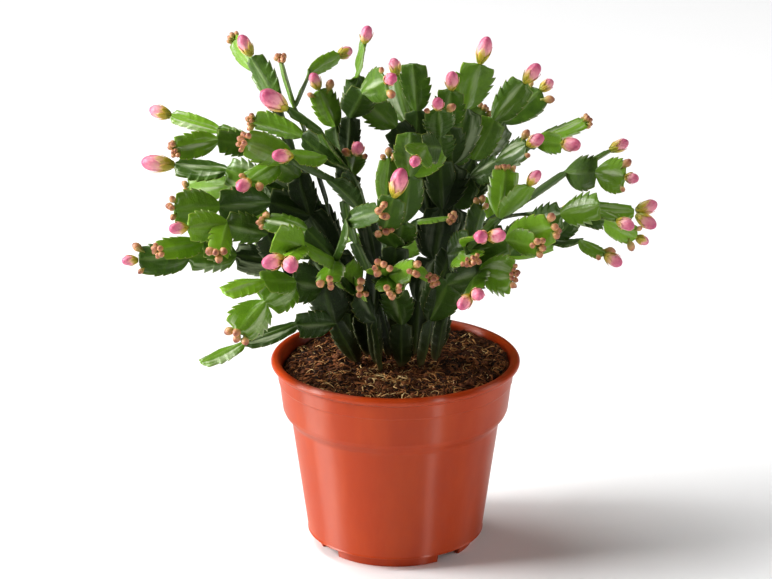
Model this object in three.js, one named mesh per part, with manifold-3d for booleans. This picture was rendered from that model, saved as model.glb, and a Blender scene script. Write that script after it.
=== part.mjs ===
// A Christmas cactus in bud, in a plastic nursery pot filled with soil. Millimetres, +Z up.
// The origin is on the surface that the pot stands on, under the pot's axis, which is the Z axis.
// The viewer looks along +Y, so -Y is the plant's front and +X its right.
//
// The plant is a set of leafy stems, each rooted in its own hole in the soil. A stem is made of shoots,
// and a shoot is a chain of flat, toothed blades joined at narrow necks. Every shoot leaves its start
// upright and arches over to its tip, where it may carry a flower bud or a cluster of small ones.

import * as THREE from "three";
import Module from "manifold-3d";

const wasm = await Module();
wasm.setup();

const SECTORS = 36;
const POT = {
  wall: 1.7, floor: 6.4, footInner: 38.6, footOuter: 41.2, footTop: 5.2, ridge: 46.8, ridgeHeight: 6.6,
  bodyTop: 54.7, bodyHeight: 68.5, collar: 59.2, collarHeight: 75.3, step: 61, stepHeight: 90,
  collarTop: 61.9, collarEnd: 97.5, lip: 65.2, lipBottom: 98.4, lipTop: 102.4, lipRound: 1.3,
};
const NOTCH = { width: 15.5, height: 5.6, angles: [43, 133, 213, 303] };
const DRAIN = { radius: 4, fromAxis: 29, sides: 8 };
const SOIL = { top: 100, dip: 0.8, leftDip: 3.8, bump: 0.9, gap: 0.3, rings: [22, 38, 50] };
const HOLE = { radius: 3, depth: 12, sides: 6 };
const STEM_FOOT = { height: 101.2, depth: 10.5, halfWidth: 2.1, rib: 1.6, back: 1 };
const BLADE = { longest: 29, rib: 1.5, back: 0.6, curl: 0.9, baseWidth: 0.75 };
const NECK = { halfWidth: 1.9, rib: 1.2, back: 0.6 };
const ROOT = { halfWidth: 1.2, rib: 0.7, back: 0.3, sunk: 1.6 };
const BUD = { gap: 0.3, vary: 0.3, sides: 6, spread: 0.56 };
const BUD_SIZES = { big: [16.5, 4], bud: [11.5, 3.1], both: [9.4, 2.8], pair: [12.2, 3.4] };
const SMALL_BUD = { length: 4.6, radius: 1.9 };
const JOINT_KINK = 2.2;
const SLIVER = 0.08;
const ROLL_SPREAD = 30;

// One side of a blade, from its neck to its blunt tip: where the rib's point and the edge's point lie
// along the blade, and how far out the edge is, as fractions of its length and half-width. The edge
// runs ahead of the rib, so that each tooth points forward.
const TOOTH = { rib: 0.26, edge: 0.4, out: 0.86 };
const NOTCH_AFTER = { rib: 0.35, edge: 0.45, out: 0.66 };
const SHOULDER = { rib: 0.56, edge: 0.72, out: 1 };
const SHOULDER_NOTCH = { rib: 0.67, edge: 0.77, out: 0.74 };
const HORN = { rib: 0.86, edge: 0.95, out: 0.62 };
const BROAD_EDGE = [TOOTH, NOTCH_AFTER, SHOULDER, SHOULDER_NOTCH, HORN];
const SLIM_EDGE = [SHOULDER, SHOULDER_NOTCH, HORN];
const SLIM_WIDTH = 17;
const EDGE_OFFSET = 0.04;

// Which way a blade's flat side looks: to the front, up, or sideways so that the front sees its edge.
const FACES = { f: [0, -1, 0.3], u: [0, -0.25, 1], e: [1, 0.1, 0.1] };

// A shoot that would cross another stem swings back or forward in steps and turns about its own axis.
// Its effort is the swing in millimetres and the turn in degrees, each over its own measure.
const SWING = { way: [0, 0.95, -0.33], steps: [0, 5, -5, 10, -10, 15, -15, 20, -20, 26, -26, 32, -32] };
const TURNS = [0, 20, -20, 40, -40, 65, -65];
const EFFORT = { swing: 30, turn: 40 };
const TRIALS = SWING.steps.flatMap((swing) => TURNS.map((turn) => (
  { swing, turn, effort: Math.abs(swing) / EFFORT.swing + Math.abs(turn) / EFFORT.turn }
))).sort((one, other) => one.effort - other.effort);
const CLEARANCE = 0.5;
const ROOT_SHARE = 0.35;
const CROSSING_COST = { otherStem: 10, sameStem: 1 };

// The leafy stems. A shoot is [key, start, rise, tip, width, faces, end]: it starts in the soil or at a
// joint of an earlier shoot of its stem (a2 is shoot a's second joint, or its last if it has fewer),
// heads up by its rise, and ends at its tip. Tips and widths are sizes read off the plant.
const STEMS = [
  {
    name: "front", base: [3, -10],
    shoots: [
      ["a", "soil", 50, [-7, -68, 174], 18, "fffu", "cluster"],
      ["b", "a3", 5, [-2, -76, 165], 16, "f", "cluster"],
      ["c", "a2", 20, [18, -66, 167], 16, "uf", "cluster"],
      ["d", "a2", 35, [4, -44, 190], 17, "f", "none"],
      ["e", "d1", 8, [-6, -56, 189], 15, "uf", "cluster"],
      ["f", "d2", 10, [7, -46, 237], 17, "f", "none"],
      ["g", "f1", 8, [22, -58, 234], 15, "f", "none"],
      ["h", "g2", 6, [10, -70, 230], 17, "f", "bud"],
      ["i", "d1", 8, [27, -58, 197], 16, "u", "cluster"],
      ["j", "e1", 24, [-1, -54, 206], 16, "f", "big"],
      ["k", "a3", 5, [8, -72, 174], 14, "uf", "cluster"],
    ],
  },
  {
    name: "front_left", base: [-8, -16],
    shoots: [
      ["a", "soil", 55, [-46, -60, 182], 20, "f", "none"],
      ["b", "a4", 0, [-60, -70, 190], 19, "f", "none"],
      ["c", "a4", 0, [-53, -72, 180], 12, "uf", "pair"],
      ["d", "a3", 20, [-66, -56, 195], 16, "u", "cluster"],
      ["e", "a2", 5, [-26, -60, 172], 17, "f", "none"],
      ["f", "a2", 0, [-17, -66, 162], 15, "f", "cluster"],
      ["g", "a3", 24, [-8, -58, 200], 12, "ue", "cluster"],
      ["h", "a3", 0, [-34, -68, 166], 15, "uf", "cluster"],
    ],
  },
  {
    name: "front_right", base: [13, -12],
    shoots: [
      ["a", "soil", 45, [66, -34, 206], 18, "f", "bud"],
      ["b", "a1", 30, [58, -56, 165], 22, "f", "cluster"],
      ["c", "a2", 22, [43, -76, 192], 17, "fu", "pair"],
      ["d", "c1", 5, [37, -72, 179], 19, "f", "cluster"],
      ["e", "a3", 6, [78, -50, 189], 20, "f", "cluster"],
      ["f", "e1", 0, [70, -56, 181], 16, "f", "cluster"],
      ["g", "a3", 5, [44, -34, 196], 16, "f", "cluster"],
      ["h", "a4", 5, [56, -18, 210], 17, "f", "cluster"],
      ["i", "b2", 0, [38, -64, 159], 16, "uf", "pair"],
    ],
  },
  {
    name: "low_left", base: [-20, -5],
    shoots: [
      ["a", "soil", 45, [-98, -54, 118], 15, "fu", "none"],
      ["b", "a1", 52, [-79, -62, 138], 22, "f", "cluster"],
      ["c", "b2", 6, [-85, -50, 154], 15, "f", "none"],
    ],
  },
  {
    name: "crown", base: [10, 7],
    shoots: [
      ["a", "soil", 25, [43, 18, 255], 22, "f", "big"],
      ["b", "a2", 35, [1, 30, 247], 19, "f", "both"],
      ["c", "b2", 20, [9, 40, 248], 17, "f", "none"],
      ["d", "a3", 25, [21, -4, 235], 17, "f", "both"],
      ["e", "b2", 12, [-14, 34, 227], 17, "f", "none"],
      ["f", "a4", 8, [46, 34, 227], 17, "f", "cluster"],
      ["g", "a4", 10, [28, 10, 242], 17, "f", "bud"],
    ],
  },
  {
    name: "upright", base: [-3, 4],
    shoots: [
      ["a", "soil", 15, [-26, 6, 186], 13, "fe", "none"],
      ["b", "a4", 40, [-39, 8, 244], 15, "eff", "both"],
      ["c", "a4", 50, [-16, 4, 268], 12, "fffe", "bud"],
      ["d", "a4", 5, [-20, -14, 216], 12, "f", "both"],
      ["e", "c2", 12, [-5, -30, 258], 18, "f", "both"],
    ],
  },
  {
    name: "top_left", base: [-9, -7],
    shoots: [
      ["a", "soil", 115, [-54, -26, 242], 12, "ffee", "big"],
      ["b", "a4", 8, [-72, -44, 244], 20, "f", "cluster"],
      ["c", "a4", 8, [-51, -47, 225], 15, "u", "bud"],
      ["d", "a3", 20, [-75, -34, 228], 17, "fu", "cluster"],
    ],
  },
  {
    name: "right", base: [21, -2],
    shoots: [
      ["a", "soil", 48, [81, -12, 169], 11, "feee", "none"],
      ["b", "a4", 28, [125, 12, 164], 13, "uf", "both"],
      ["c", "b1", 10, [112, -14, 181], 12, "u", "bud"],
      ["d", "a3", 20, [103, -20, 191], 18, "f", "none"],
      ["e", "a4", 8, [106, -24, 166], 13, "u", "both"],
    ],
  },
  {
    name: "upper_right", base: [21, 13],
    shoots: [
      ["a", "soil", 110, [76, 28, 240], 19, "f", "both"],
      ["b", "a4", 15, [66, 30, 241], 17, "f", "bud"],
      ["c", "a3", 12, [67, 14, 212], 18, "f", "both"],
      ["d", "a3", 12, [100, 32, 222], 14, "ueu", "cluster"],
      ["e", "d2", 8, [86, 8, 216], 12, "e", "big"],
    ],
  },
  {
    name: "left", base: [-13, 4],
    shoots: [
      ["a", "soil", 65, [-131, -32, 166], 18, "fuff", "both"],
      ["b", "a4", 10, [-119, -42, 174], 15, "u", "cluster"],
      ["c", "a3", 30, [-104, -44, 187], 17, "f", "bud"],
      ["d", "c2", 4, [-88, -42, 173], 15, "u", "cluster"],
    ],
  },
  {
    name: "upper_left", base: [-22, 12],
    shoots: [
      ["a", "soil", 96, [-115, 2, 207], 19, "fffu", "big"],
      ["b", "a3", 10, [-112, -26, 191], 20, "f", "cluster"],
      ["c", "a4", 8, [-110, 29, 185], 16, "f", "cluster"],
      ["d", "a3", 38, [-117, 38, 222], 9, "f", "bud"],
      ["e", "d2", 8, [-113, 2, 215], 15, "f", "cluster"],
      ["f", "a3", 45, [-73, -36, 209], 15, "fu", "both"],
    ],
  },
  {
    name: "far_left", base: [-12, 17],
    shoots: [
      ["a", "soil", 15, [-75, 45, 252], 15, "ffef", "bud"],
      ["b", "a5", 5, [-86, 64, 258], 11, "e", "cluster"],
      ["c", "a2", 10, [-59, 30, 253], 10, "e", "cluster"],
      ["d", "c3", 20, [-30, 50, 251], 9, "e", "bud"],
    ],
  },
  {
    name: "far_right", base: [5, 20],
    shoots: [
      ["a", "soil", 50, [114, 30, 207], 10, "fuee", "bud"],
      ["b", "a5", 3, [119, 17, 195], 20, "f", "both"],
      ["c", "a3", 12, [126, 6, 180], 12, "uf", "pair"],
    ],
  },
  {
    name: "back_left", base: [-22, 27],
    shoots: [
      ["a", "soil", 35, [-85, 66, 168], 16, "fu", "bud"],
      ["b", "a2", 14, [-82, 56, 142], 15, "u", "cluster"],
      ["c", "a2", 22, [-56, 62, 184], 16, "uf", "both"],
    ],
  },
  {
    name: "back", base: [-4, 30],
    shoots: [
      ["a", "soil", 25, [1, 74, 154], 16, "fu", "bud"],
      ["b", "a2", 10, [-40, 76, 144], 16, "u", "cluster"],
      ["c", "a2", 10, [34, 76, 148], 16, "u", "both"],
      ["d", "a1", 40, [-3, 58, 193], 14, "f", "cluster"],
    ],
  },
  {
    name: "back_right", base: [16, 29],
    shoots: [
      ["a", "soil", 35, [88, 66, 159], 16, "fu", "bud"],
      ["b", "a2", 10, [76, 75, 138], 16, "u", "none"],
      ["c", "a1", 20, [48, 52, 132], 16, "u", "both"],
      ["d", "a2", 20, [59, 60, 178], 16, "uf", "both"],
    ],
  },
];

// A repeatable draw between -1 and 1 for a whole number.
function draw(number) {
  const wave = Math.sin(number * 12.9898 + 4.1) * 43758.5453;
  return 2 * (wave - Math.floor(wave)) - 1;
}

const radians = (degrees) => (degrees * Math.PI) / 180;

const vector = (numbers) => new THREE.Vector3(...numbers);

// Closed meshes and joins.

function meshSolid(points, triangles) {
  const vertProperties = new Float32Array(points.flatMap((point) => point.toArray()));
  const triVerts = new Uint32Array(triangles.flat());
  return new wasm.Manifold(new wasm.Mesh({ numProp: 3, vertProperties, triVerts }));
}

function solidGeometry(solid) {
  const mesh = solid.getMesh();
  const geometry = new THREE.BufferGeometry();
  geometry.setAttribute("position", new THREE.BufferAttribute(mesh.vertProperties, 3));
  geometry.setIndex(new THREE.BufferAttribute(mesh.triVerts, 1));
  geometry.computeVertexNormals();
  return geometry;
}

// Joins a row of rings, each a list of points in turn about the row, and closes both its ends.
function ringSolid(rings, split) {
  const sides = rings[0].length;
  const triangles = [];
  for (let row = 0; row + 1 < rings.length; row += 1) {
    for (let side = 0; side < sides; side += 1) {
      const next = (side + 1) % sides;
      const low = [row * sides + side, row * sides + next];
      const high = [low[0] + sides, low[1] + sides];
      if (split(side)) triangles.push([low[0], low[1], high[0]], [low[1], high[1], high[0]]);
      else triangles.push([low[0], low[1], high[1]], [low[0], high[1], high[0]]);
    }
  }
  const last = (rings.length - 1) * sides;
  for (let side = 1; side + 1 < sides; side += 1) {
    triangles.push([0, side + 1, side], [last, last + side, last + side + 1]);
  }
  return meshSolid(rings.flat(), triangles);
}

const alike = () => false;

// An upright prism, used to cut round holes.
function prism(x, y, radius, sides, bottom, top) {
  const ring = (z) => Array.from({ length: sides }, (_, side) => {
    const angle = (2 * Math.PI * side) / sides;
    return new THREE.Vector3(x + radius * Math.cos(angle), y + radius * Math.sin(angle), z);
  });
  return ringSolid([ring(bottom), ring(top)], alike);
}

// The shoots' joints.

// The joints of a shoot: an arch that leaves its start upright, cut into blades of equal length.
function archJoints(start, rise, tip) {
  const handle = start.clone().setZ(start.z + rise);
  const arch = new THREE.QuadraticBezierCurve3(start, handle, tip);
  arch.arcLengthDivisions = 200;
  return arch.getSpacedPoints(Math.ceil(arch.getLength() / BLADE.longest));
}

// Kinks the joints a little, as each new blade sets off at its own angle.
function kinked(joints, seed) {
  return joints.map((joint, index) => {
    if (index === 0 || index === joints.length - 1) return joint;
    const kink = [0, 1, 2].map((axis) => JOINT_KINK * draw(seed + 7 * index + axis));
    return joint.clone().add(vector(kink));
  });
}

// A blade's directions: along its rib, out of its flat side, and across it.
function bladeAxes(from, to, face, turn) {
  const along = to.clone().sub(from).normalize();
  const hint = vector(FACES[face]);
  const out = hint.addScaledVector(along, -hint.dot(along)).normalize();
  out.applyAxisAngle(along, radians(turn));
  return { along, out, across: out.clone().cross(along) };
}

function shootBlades(joints, shoot, turn, seed) {
  const count = joints.length - 1;
  return Array.from({ length: count }, (_, index) => {
    const [from, to] = [joints[index], joints[index + 1]];
    const face = shoot.faces[Math.floor((index * shoot.faces.length) / count)];
    const roll = turn + ROLL_SPREAD * 0.5 * draw(seed + 11 * index + 5);
    const atSoil = shoot.start === "soil" && index === 0;
    const width = shoot.width * (atSoil ? BLADE.baseWidth : 1);
    return { from, to, width, ...bladeAxes(from, to, face, roll), seed: seed + 13 * index };
  });
}

// Clearing one shoot of another.

function box(centre, blade, halves, kind) {
  return { centre, axes: [blade.along, blade.across, blade.out], halves, reach: Math.hypot(...halves), kind };
}

// The box around a blade, or around what is left of it past a share of its length.
function bladeBox(blade, past = 0) {
  const centre = blade.from.clone().lerp(blade.to, (1 + past) / 2);
  const length = blade.from.distanceTo(blade.to) * (1 - past);
  const halves = [length / 2, blade.width / 2, BLADE.rib].map((half) => half + CLEARANCE / 2);
  return box(centre, blade, halves, "blade");
}

function shootBoxes(shoot, blades) {
  const boxes = blades.map((blade) => bladeBox(blade));
  const last = blades.at(-1);
  const beyond = (distance) => last.to.clone().addScaledVector(last.along, distance);
  if (shoot.bud) {
    const halves = [shoot.bud.length / 2, shoot.bud.radius * shoot.bud.breadth, shoot.bud.radius];
    boxes.push(box(beyond(BUD.gap + halves[0] + CLEARANCE / 2), last, halves, "bud"));
  }
  if (shoot.end === "cluster") {
    boxes.push(box(beyond(SMALL_BUD.length / 2), last, [2.4, 4, 2.2], "blade"));
  }
  return boxes;
}

// Whether two boxes share any space, by looking for a direction in which they lie apart.
function boxesMeet(one, other) {
  const between = other.centre.clone().sub(one.centre);
  if (between.length() > one.reach + other.reach) return false;
  const crosses = one.axes.flatMap((axis) => other.axes.map((second) => axis.clone().cross(second)));
  const directions = [...one.axes, ...other.axes, ...crosses].filter((axis) => axis.lengthSq() > 1e-6);
  return directions.every((direction) => {
    const extent = (item) => item.axes.reduce(
      (sum, axis, index) => sum + item.halves[index] * Math.abs(axis.dot(direction)), 0);
    return Math.abs(between.dot(direction)) < extent(one) + extent(other);
  });
}

// What a shoot's place costs in crossings with the boxes that already stand.
// The blade that it grows from may touch its root, but not the rest of it.
function crossingCost(boxes, rootless, standing, stemName, parentBoxes) {
  let cost = 0;
  boxes.forEach((item, index) => {
    for (const other of standing) {
      const tested = index === 0 && parentBoxes.includes(other) ? rootless : item;
      if (!boxesMeet(tested, other)) continue;
      const apart = other.stem !== stemName || item.kind === "bud" || other.kind === "bud";
      cost += apart ? CROSSING_COST.otherStem : CROSSING_COST.sameStem;
    }
  });
  return cost;
}

// Tries a shoot at each swing and turn, the easiest first, and returns the first place with the fewest
// crossings.
function clearPlace(shoot, start, stemName, standing, parentBoxes) {
  let best = null;
  for (const { swing, turn } of TRIALS) {
    const tip = vector(shoot.tip).addScaledVector(vector(SWING.way), swing);
    const joints = kinked(archJoints(start, shoot.rise, tip), shoot.seed);
    const blades = shootBlades(joints, shoot, turn, shoot.seed);
    const boxes = shootBoxes(shoot, blades);
    const rootless = bladeBox(blades[0], ROOT_SHARE);
    const cost = crossingCost(boxes, rootless, standing, stemName, parentBoxes);
    if (best === null || cost < best.cost) best = { cost, joints, blades, boxes };
    if (best.cost === 0) return best;
  }
  return best;
}

// The flower bud that a shoot's end calls for. A pair is two buds side by side, one body.
function budAt(end, seed) {
  if (end === "none" || end === "cluster") return null;
  const scale = 1 + BUD.vary * 0.5 * draw(seed + 3);
  const [length, radius] = BUD_SIZES[end].map((size) => size * scale);
  const pair = end === "pair";
  return { length, radius, pair, breadth: pair ? 2.2 : 1 };
}

function readShoot([key, start, rise, tip, width, faces, end], seed) {
  return { key, start, rise, tip, width, faces, end, seed, bud: budAt(end, seed) };
}

// Places every shoot of every stem, one after another.
function growStems() {
  const standing = [];
  let seed = 1;
  return STEMS.map((stem) => {
    const shoots = {};
    for (const row of stem.shoots) {
      const shoot = readShoot(row, seed);
      seed += 97;
      const fromSoil = shoot.start === "soil";
      const parent = fromSoil ? null : shoots[shoot.start[0]];
      const joint = fromSoil ? 0 : Math.min(Number(shoot.start.slice(1)), parent.joints.length - 1);
      const start = parent ? parent.joints[joint] : vector([...stem.base, STEM_FOOT.height]);
      const parentBoxes = parent ? parent.boxes.slice(joint - 1, joint + 1) : [];
      const place = clearPlace(shoot, start, stem.name, standing, parentBoxes);
      place.boxes.forEach((item) => standing.push(Object.assign(item, { stem: stem.name })));
      shoots[shoot.key] = { ...shoot, ...place };
    }
    return { ...stem, shoots: Object.values(shoots) };
  });
}

// Blades.

// Three points about a place on a blade: one edge, the rib on its face, and the other edge.
function section(place, blade, { halfWidth, rib, back }) {
  const at = (across, out) => place.clone()
    .addScaledVector(blade.across, across)
    .addScaledVector(blade.out, out);
  return [at(halfWidth, -back), at(0, rib), at(-halfWidth, -back)];
}

// The ring at one point of the outline. One edge's teeth stand a little ahead of the other's.
function bladeRing(blade, point) {
  const length = blade.from.distanceTo(blade.to);
  const halfWidth = (blade.width / 2) * point.out;
  const back = BLADE.back - BLADE.curl * point.out * draw(blade.seed + 1);
  const ring = section(blade.from, blade, { halfWidth, rib: BLADE.rib, back });
  const offset = point === HORN ? 0 : EDGE_OFFSET * Math.sign(draw(blade.seed + 2));
  const along = [point.edge + offset, point.rib, point.edge - offset];
  return ring.map((corner, index) => corner.addScaledVector(blade.along, along[index] * length));
}

function neckRing(before, after) {
  const across = before.across.clone().add(after.across).normalize();
  const out = before.out.clone().add(after.out).normalize();
  return section(before.to, { across, out }, NECK);
}

// The rings of a shoot. It starts sunk in its parent's blade, or on a foot deep in the soil.
function shootRings({ start, width, end, blades }) {
  const [first, last] = [blades[0], blades.at(-1)];
  const fromSoil = start === "soil";
  const foot = (depth) => section(first.from.clone().setZ(first.from.z - depth), first, STEM_FOOT);
  const root = () => section(first.from.clone().addScaledVector(first.along, -ROOT.sunk), first, ROOT);
  const rings = fromSoil ? [foot(STEM_FOOT.depth), foot(0)] : [root()];
  blades.forEach((blade, index) => {
    const slim = width < SLIM_WIDTH || (!fromSoil && index === 0);
    (slim ? SLIM_EDGE : BROAD_EDGE).forEach((point) => rings.push(bladeRing(blade, point)));
    rings.push(neckRing(blade, blades[index + 1] ?? blade));
  });
  return end === "cluster" ? [...rings, ...endBudRings(last)] : rings;
}

// The middle bud of a cluster goes on from the end of the shoot's last blade.
function endBudRings(blade) {
  return [[0.45, 1], [1, 0.3]].map(([distance, scale]) => {
    const place = blade.to.clone().addScaledVector(blade.along, distance * SMALL_BUD.length);
    const radius = SMALL_BUD.radius * scale;
    return section(place, blade, { halfWidth: radius, rib: radius, back: radius * 0.7 });
  });
}

// Each face beside the rib is split from its rib forward to its edge, so that no tooth folds over.
const ribToEdge = (side) => side === 0;

function smallBud(centre, along) {
  const side = new THREE.Vector3(0, 0, 1).cross(along);
  const across = side.lengthSq() < 0.01 ? new THREE.Vector3(1, 0, 0) : side.normalize();
  const out = along.clone().cross(across);
  const reach = (direction, length) => centre.clone().addScaledVector(direction, length);
  const { radius } = SMALL_BUD;
  const half = SMALL_BUD.length / 2;
  const points = [
    reach(along, -half), reach(across, radius), reach(out, radius), reach(across, -radius),
    reach(out, -radius), reach(along, half),
  ];
  const triangles = [0, 1, 2, 3].flatMap((side4) => {
    const next = 1 + ((side4 + 1) % 4);
    return [[0, next, 1 + side4], [5, 1 + side4, next]];
  });
  return meshSolid(points, triangles);
}

// The small buds beside a shoot's tip: one on each horn in a cluster, or one beside a flower bud.
function tipBuds(shoot) {
  const last = shoot.blades.at(-1);
  const place = (along, across) => last.to.clone()
    .addScaledVector(last.along, along)
    .addScaledVector(last.across, across);
  const lean = (amount) => last.along.clone().addScaledVector(last.across, amount).normalize();
  const half = shoot.width / 2;
  const side = Math.sign(draw(shoot.seed + 6));
  if (shoot.end === "cluster") return [smallBud(place(-1, side * half * 0.5), lean(side * 0.8))];
  if (shoot.end === "both") return [smallBud(place(-4.6, side * half * 0.68), lean(side * 0.9))];
  return [];
}

function stemSolid(stem) {
  const parts = stem.shoots.flatMap((shoot) => [
    ringSolid(shootRings(shoot), ribToEdge), ...tipBuds(shoot),
  ]);
  return parts.reduce((joined, part) => joined.add(part)).simplify(SLIVER);
}

// Flower buds.

// How far along a closed bud each ring of tepal tips lies, and how wide it is there.
const BUD_RINGS = [[0, 0.42], [0.28, 0.94], [0.68, 0.88], [1, 0.14]];

function budSolid(seat, along, across, bud) {
  const out = along.clone().cross(across);
  const rings = BUD_RINGS.map(([distance, width], row) => Array.from({ length: BUD.sides }, (_, side) => {
    const angle = (2 * Math.PI * (side + 0.5 * row)) / BUD.sides;
    const tepal = side % 2 === 0 ? 1.08 : 0.92;
    const radius = bud.radius * width * (row === 0 ? 1 : tepal);
    return seat.clone()
      .addScaledVector(along, distance * bud.length)
      .addScaledVector(across, radius * Math.cos(angle))
      .addScaledVector(out, radius * Math.sin(angle));
  }));
  return ringSolid(rings, alike);
}

function flowerBud(shoot) {
  const { along, across } = shoot.blades.at(-1);
  const { bud } = shoot;
  const tip = shoot.blades.at(-1).to;
  if (!bud.pair) return budSolid(tip.clone().addScaledVector(along, BUD.gap), along, across, bud);
  const [one, other] = [1, -1].map((side) => {
    const way = along.clone().addScaledVector(across, side * BUD.spread).normalize();
    const wayAcross = across.clone().addScaledVector(way, -across.dot(way)).normalize();
    const lift = BUD.gap + bud.radius * 0.42 * BUD.spread;
    const seat = tip.clone().addScaledVector(along, lift).addScaledVector(across, side * bud.radius * 0.3);
    return budSolid(seat, way, wayAcross, bud);
  });
  return one.add(other);
}

// Pot and soil.

// The pot's outline from the middle of its underside, out and up to the lip, and back down inside.
function potOutline() {
  const inside = (radius) => radius - POT.wall;
  return [
    [0, POT.floor], [POT.footInner, POT.floor], [POT.footInner + 0.2, 0], [POT.footOuter, 0],
    [POT.footOuter + 0.9, POT.footTop], [POT.ridge, POT.ridgeHeight], [POT.ridge - 0.4, POT.ridgeHeight + 1],
    [POT.bodyTop, POT.bodyHeight], [POT.collar - 0.9, POT.collarHeight - 2.2],
    [POT.collar, POT.collarHeight], [POT.step, POT.stepHeight], [POT.step + 0.5, POT.stepHeight + 0.6],
    [POT.collarTop, POT.collarEnd], [POT.lip - POT.lipRound, POT.lipBottom],
    [POT.lip, POT.lipBottom + POT.lipRound], [POT.lip, POT.lipTop - POT.lipRound],
    [POT.lip - POT.lipRound, POT.lipTop], [inside(POT.collarTop) + 1.4, POT.lipTop],
    [inside(POT.collarTop), POT.lipTop - POT.lipRound], ...innerWall(0),
  ];
}

// The inside wall from the collar down to the floor and its middle, drawn in by a gap.
function innerWall(gap) {
  const inside = (radius) => radius - POT.wall - gap;
  const floor = POT.floor + 2 + gap;
  return [
    [inside(POT.collar), POT.collarHeight + 0.6], [inside(POT.collar) - 0.9, POT.collarHeight - 2],
    [inside(POT.bodyTop), POT.bodyHeight + 0.2], [inside(POT.ridge), floor], [0, floor],
  ];
}

// A body of revolution from an outline that starts and ends on the axis.
function turned(outline) {
  const middle = outline.slice(1, -1);
  const rings = middle.map(([radius, height]) => Array.from({ length: SECTORS }, (_, sector) => {
    const angle = (2 * Math.PI * sector) / SECTORS;
    return new THREE.Vector3(radius * Math.cos(angle), radius * Math.sin(angle), height);
  }));
  return ringSolid(rings, alike);
}

// A point at an angle turned from the front towards the right, and a distance from the pot's axis.
function fromFront(degrees, distance) {
  return [distance * Math.sin(radians(degrees)), -distance * Math.cos(radians(degrees))];
}

// The cutter of one gap in the foot ring.
function notchCutter(degrees) {
  const corners = [[-1, 30], [1, 30], [1, 50], [-1, 50]].map(([side, distance]) => {
    const [x, y] = fromFront(degrees, distance);
    const [sideX, sideY] = fromFront(degrees + 90, (side * NOTCH.width) / 2);
    return [x + sideX, y + sideY];
  });
  const ring = (z) => corners.map(([x, y]) => new THREE.Vector3(x, y, z)).reverse();
  return ringSolid([ring(-1), ring(NOTCH.height)], alike);
}

function potSolid() {
  const notched = NOTCH.angles.reduce((pot, angle) => pot.subtract(notchCutter(angle)), turned(potOutline()));
  return NOTCH.angles.reduce((pot, angle) => {
    const [x, y] = fromFront(angle, DRAIN.fromAxis);
    return pot.subtract(prism(x, y, DRAIN.radius, DRAIN.sides, POT.floor - 1, POT.floor + 3));
  }, notched);
}

// The height of the soil's loose surface: level in the middle, lower at the wall and on the left.
function soilHeight(radius, angle) {
  const outward = Math.max(0, (radius - 24) / 34);
  const left = Math.max(0, -Math.cos(angle));
  const bump = Math.sin(7 * angle + radius) + Math.sin(3 * angle - 0.3 * radius);
  return SOIL.top - (SOIL.dip + SOIL.leftDip * left) * outward ** 1.5 + 0.5 * SOIL.bump * bump * outward;
}

function soilSolid() {
  const inner = innerWall(SOIL.gap);
  const edge = POT.collarTop - POT.wall - 1.3;
  const ring = (radius, heightAt) => Array.from({ length: SECTORS }, (_, sector) => {
    const angle = (2 * Math.PI * sector) / SECTORS;
    return new THREE.Vector3(radius * Math.cos(angle), radius * Math.sin(angle), heightAt(radius, angle));
  });
  const wall = inner.slice(0, -1).reverse().map(([radius, height]) => ring(radius, () => height));
  const surface = [edge, ...SOIL.rings.toReversed(), 6].map((radius) => ring(radius, soilHeight));
  return STEMS.reduce((soil, { base: [x, y] }) => soil.subtract(
    prism(x, y, HOLE.radius, HOLE.sides, SOIL.top - HOLE.depth, SOIL.top + 3),
  ), ringSolid([...wall, ...surface], alike));
}

// The finished object.

const COLOURS = {
  pot: { color: 0xb5512c, roughness: 0.42 },
  soil: { color: 0x4a3224, roughness: 0.95 },
  stem: { color: 0x4b7a2c, roughness: 0.45 },
  bud: { color: 0xd98a97, roughness: 0.5 },
};

const group = new THREE.Group();

function addMesh(name, solid, look) {
  const material = new THREE.MeshStandardMaterial({ ...COLOURS[look], metalness: 0 });
  const mesh = new THREE.Mesh(solidGeometry(solid), material);
  mesh.name = name;
  group.add(mesh);
}

addMesh("pot", potSolid(), "pot");
addMesh("soil", soilSolid(), "soil");
for (const stem of growStems()) {
  addMesh(`stem_${stem.name}`, stemSolid(stem), "stem");
  for (const shoot of stem.shoots.filter(({ bud }) => bud)) {
    addMesh(`bud_${stem.name}_${shoot.key}`, flowerBud(shoot), "bud");
  }
}

export default group;
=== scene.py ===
"""A potted Christmas cactus in bud, as it looks: fine blades, buds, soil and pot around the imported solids.

Sizes are in millimetres until a mesh is made, and in metres from then on. The viewer looks along +Y, X is
to the right and Z is up. The stems grow by the same table and the same rule as the solids, so that each
fine piece lies where its solid lies.
"""

from __future__ import annotations

import logging
import math
from collections.abc import Callable, Iterable
from dataclasses import dataclass, field
from enum import Enum

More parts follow.
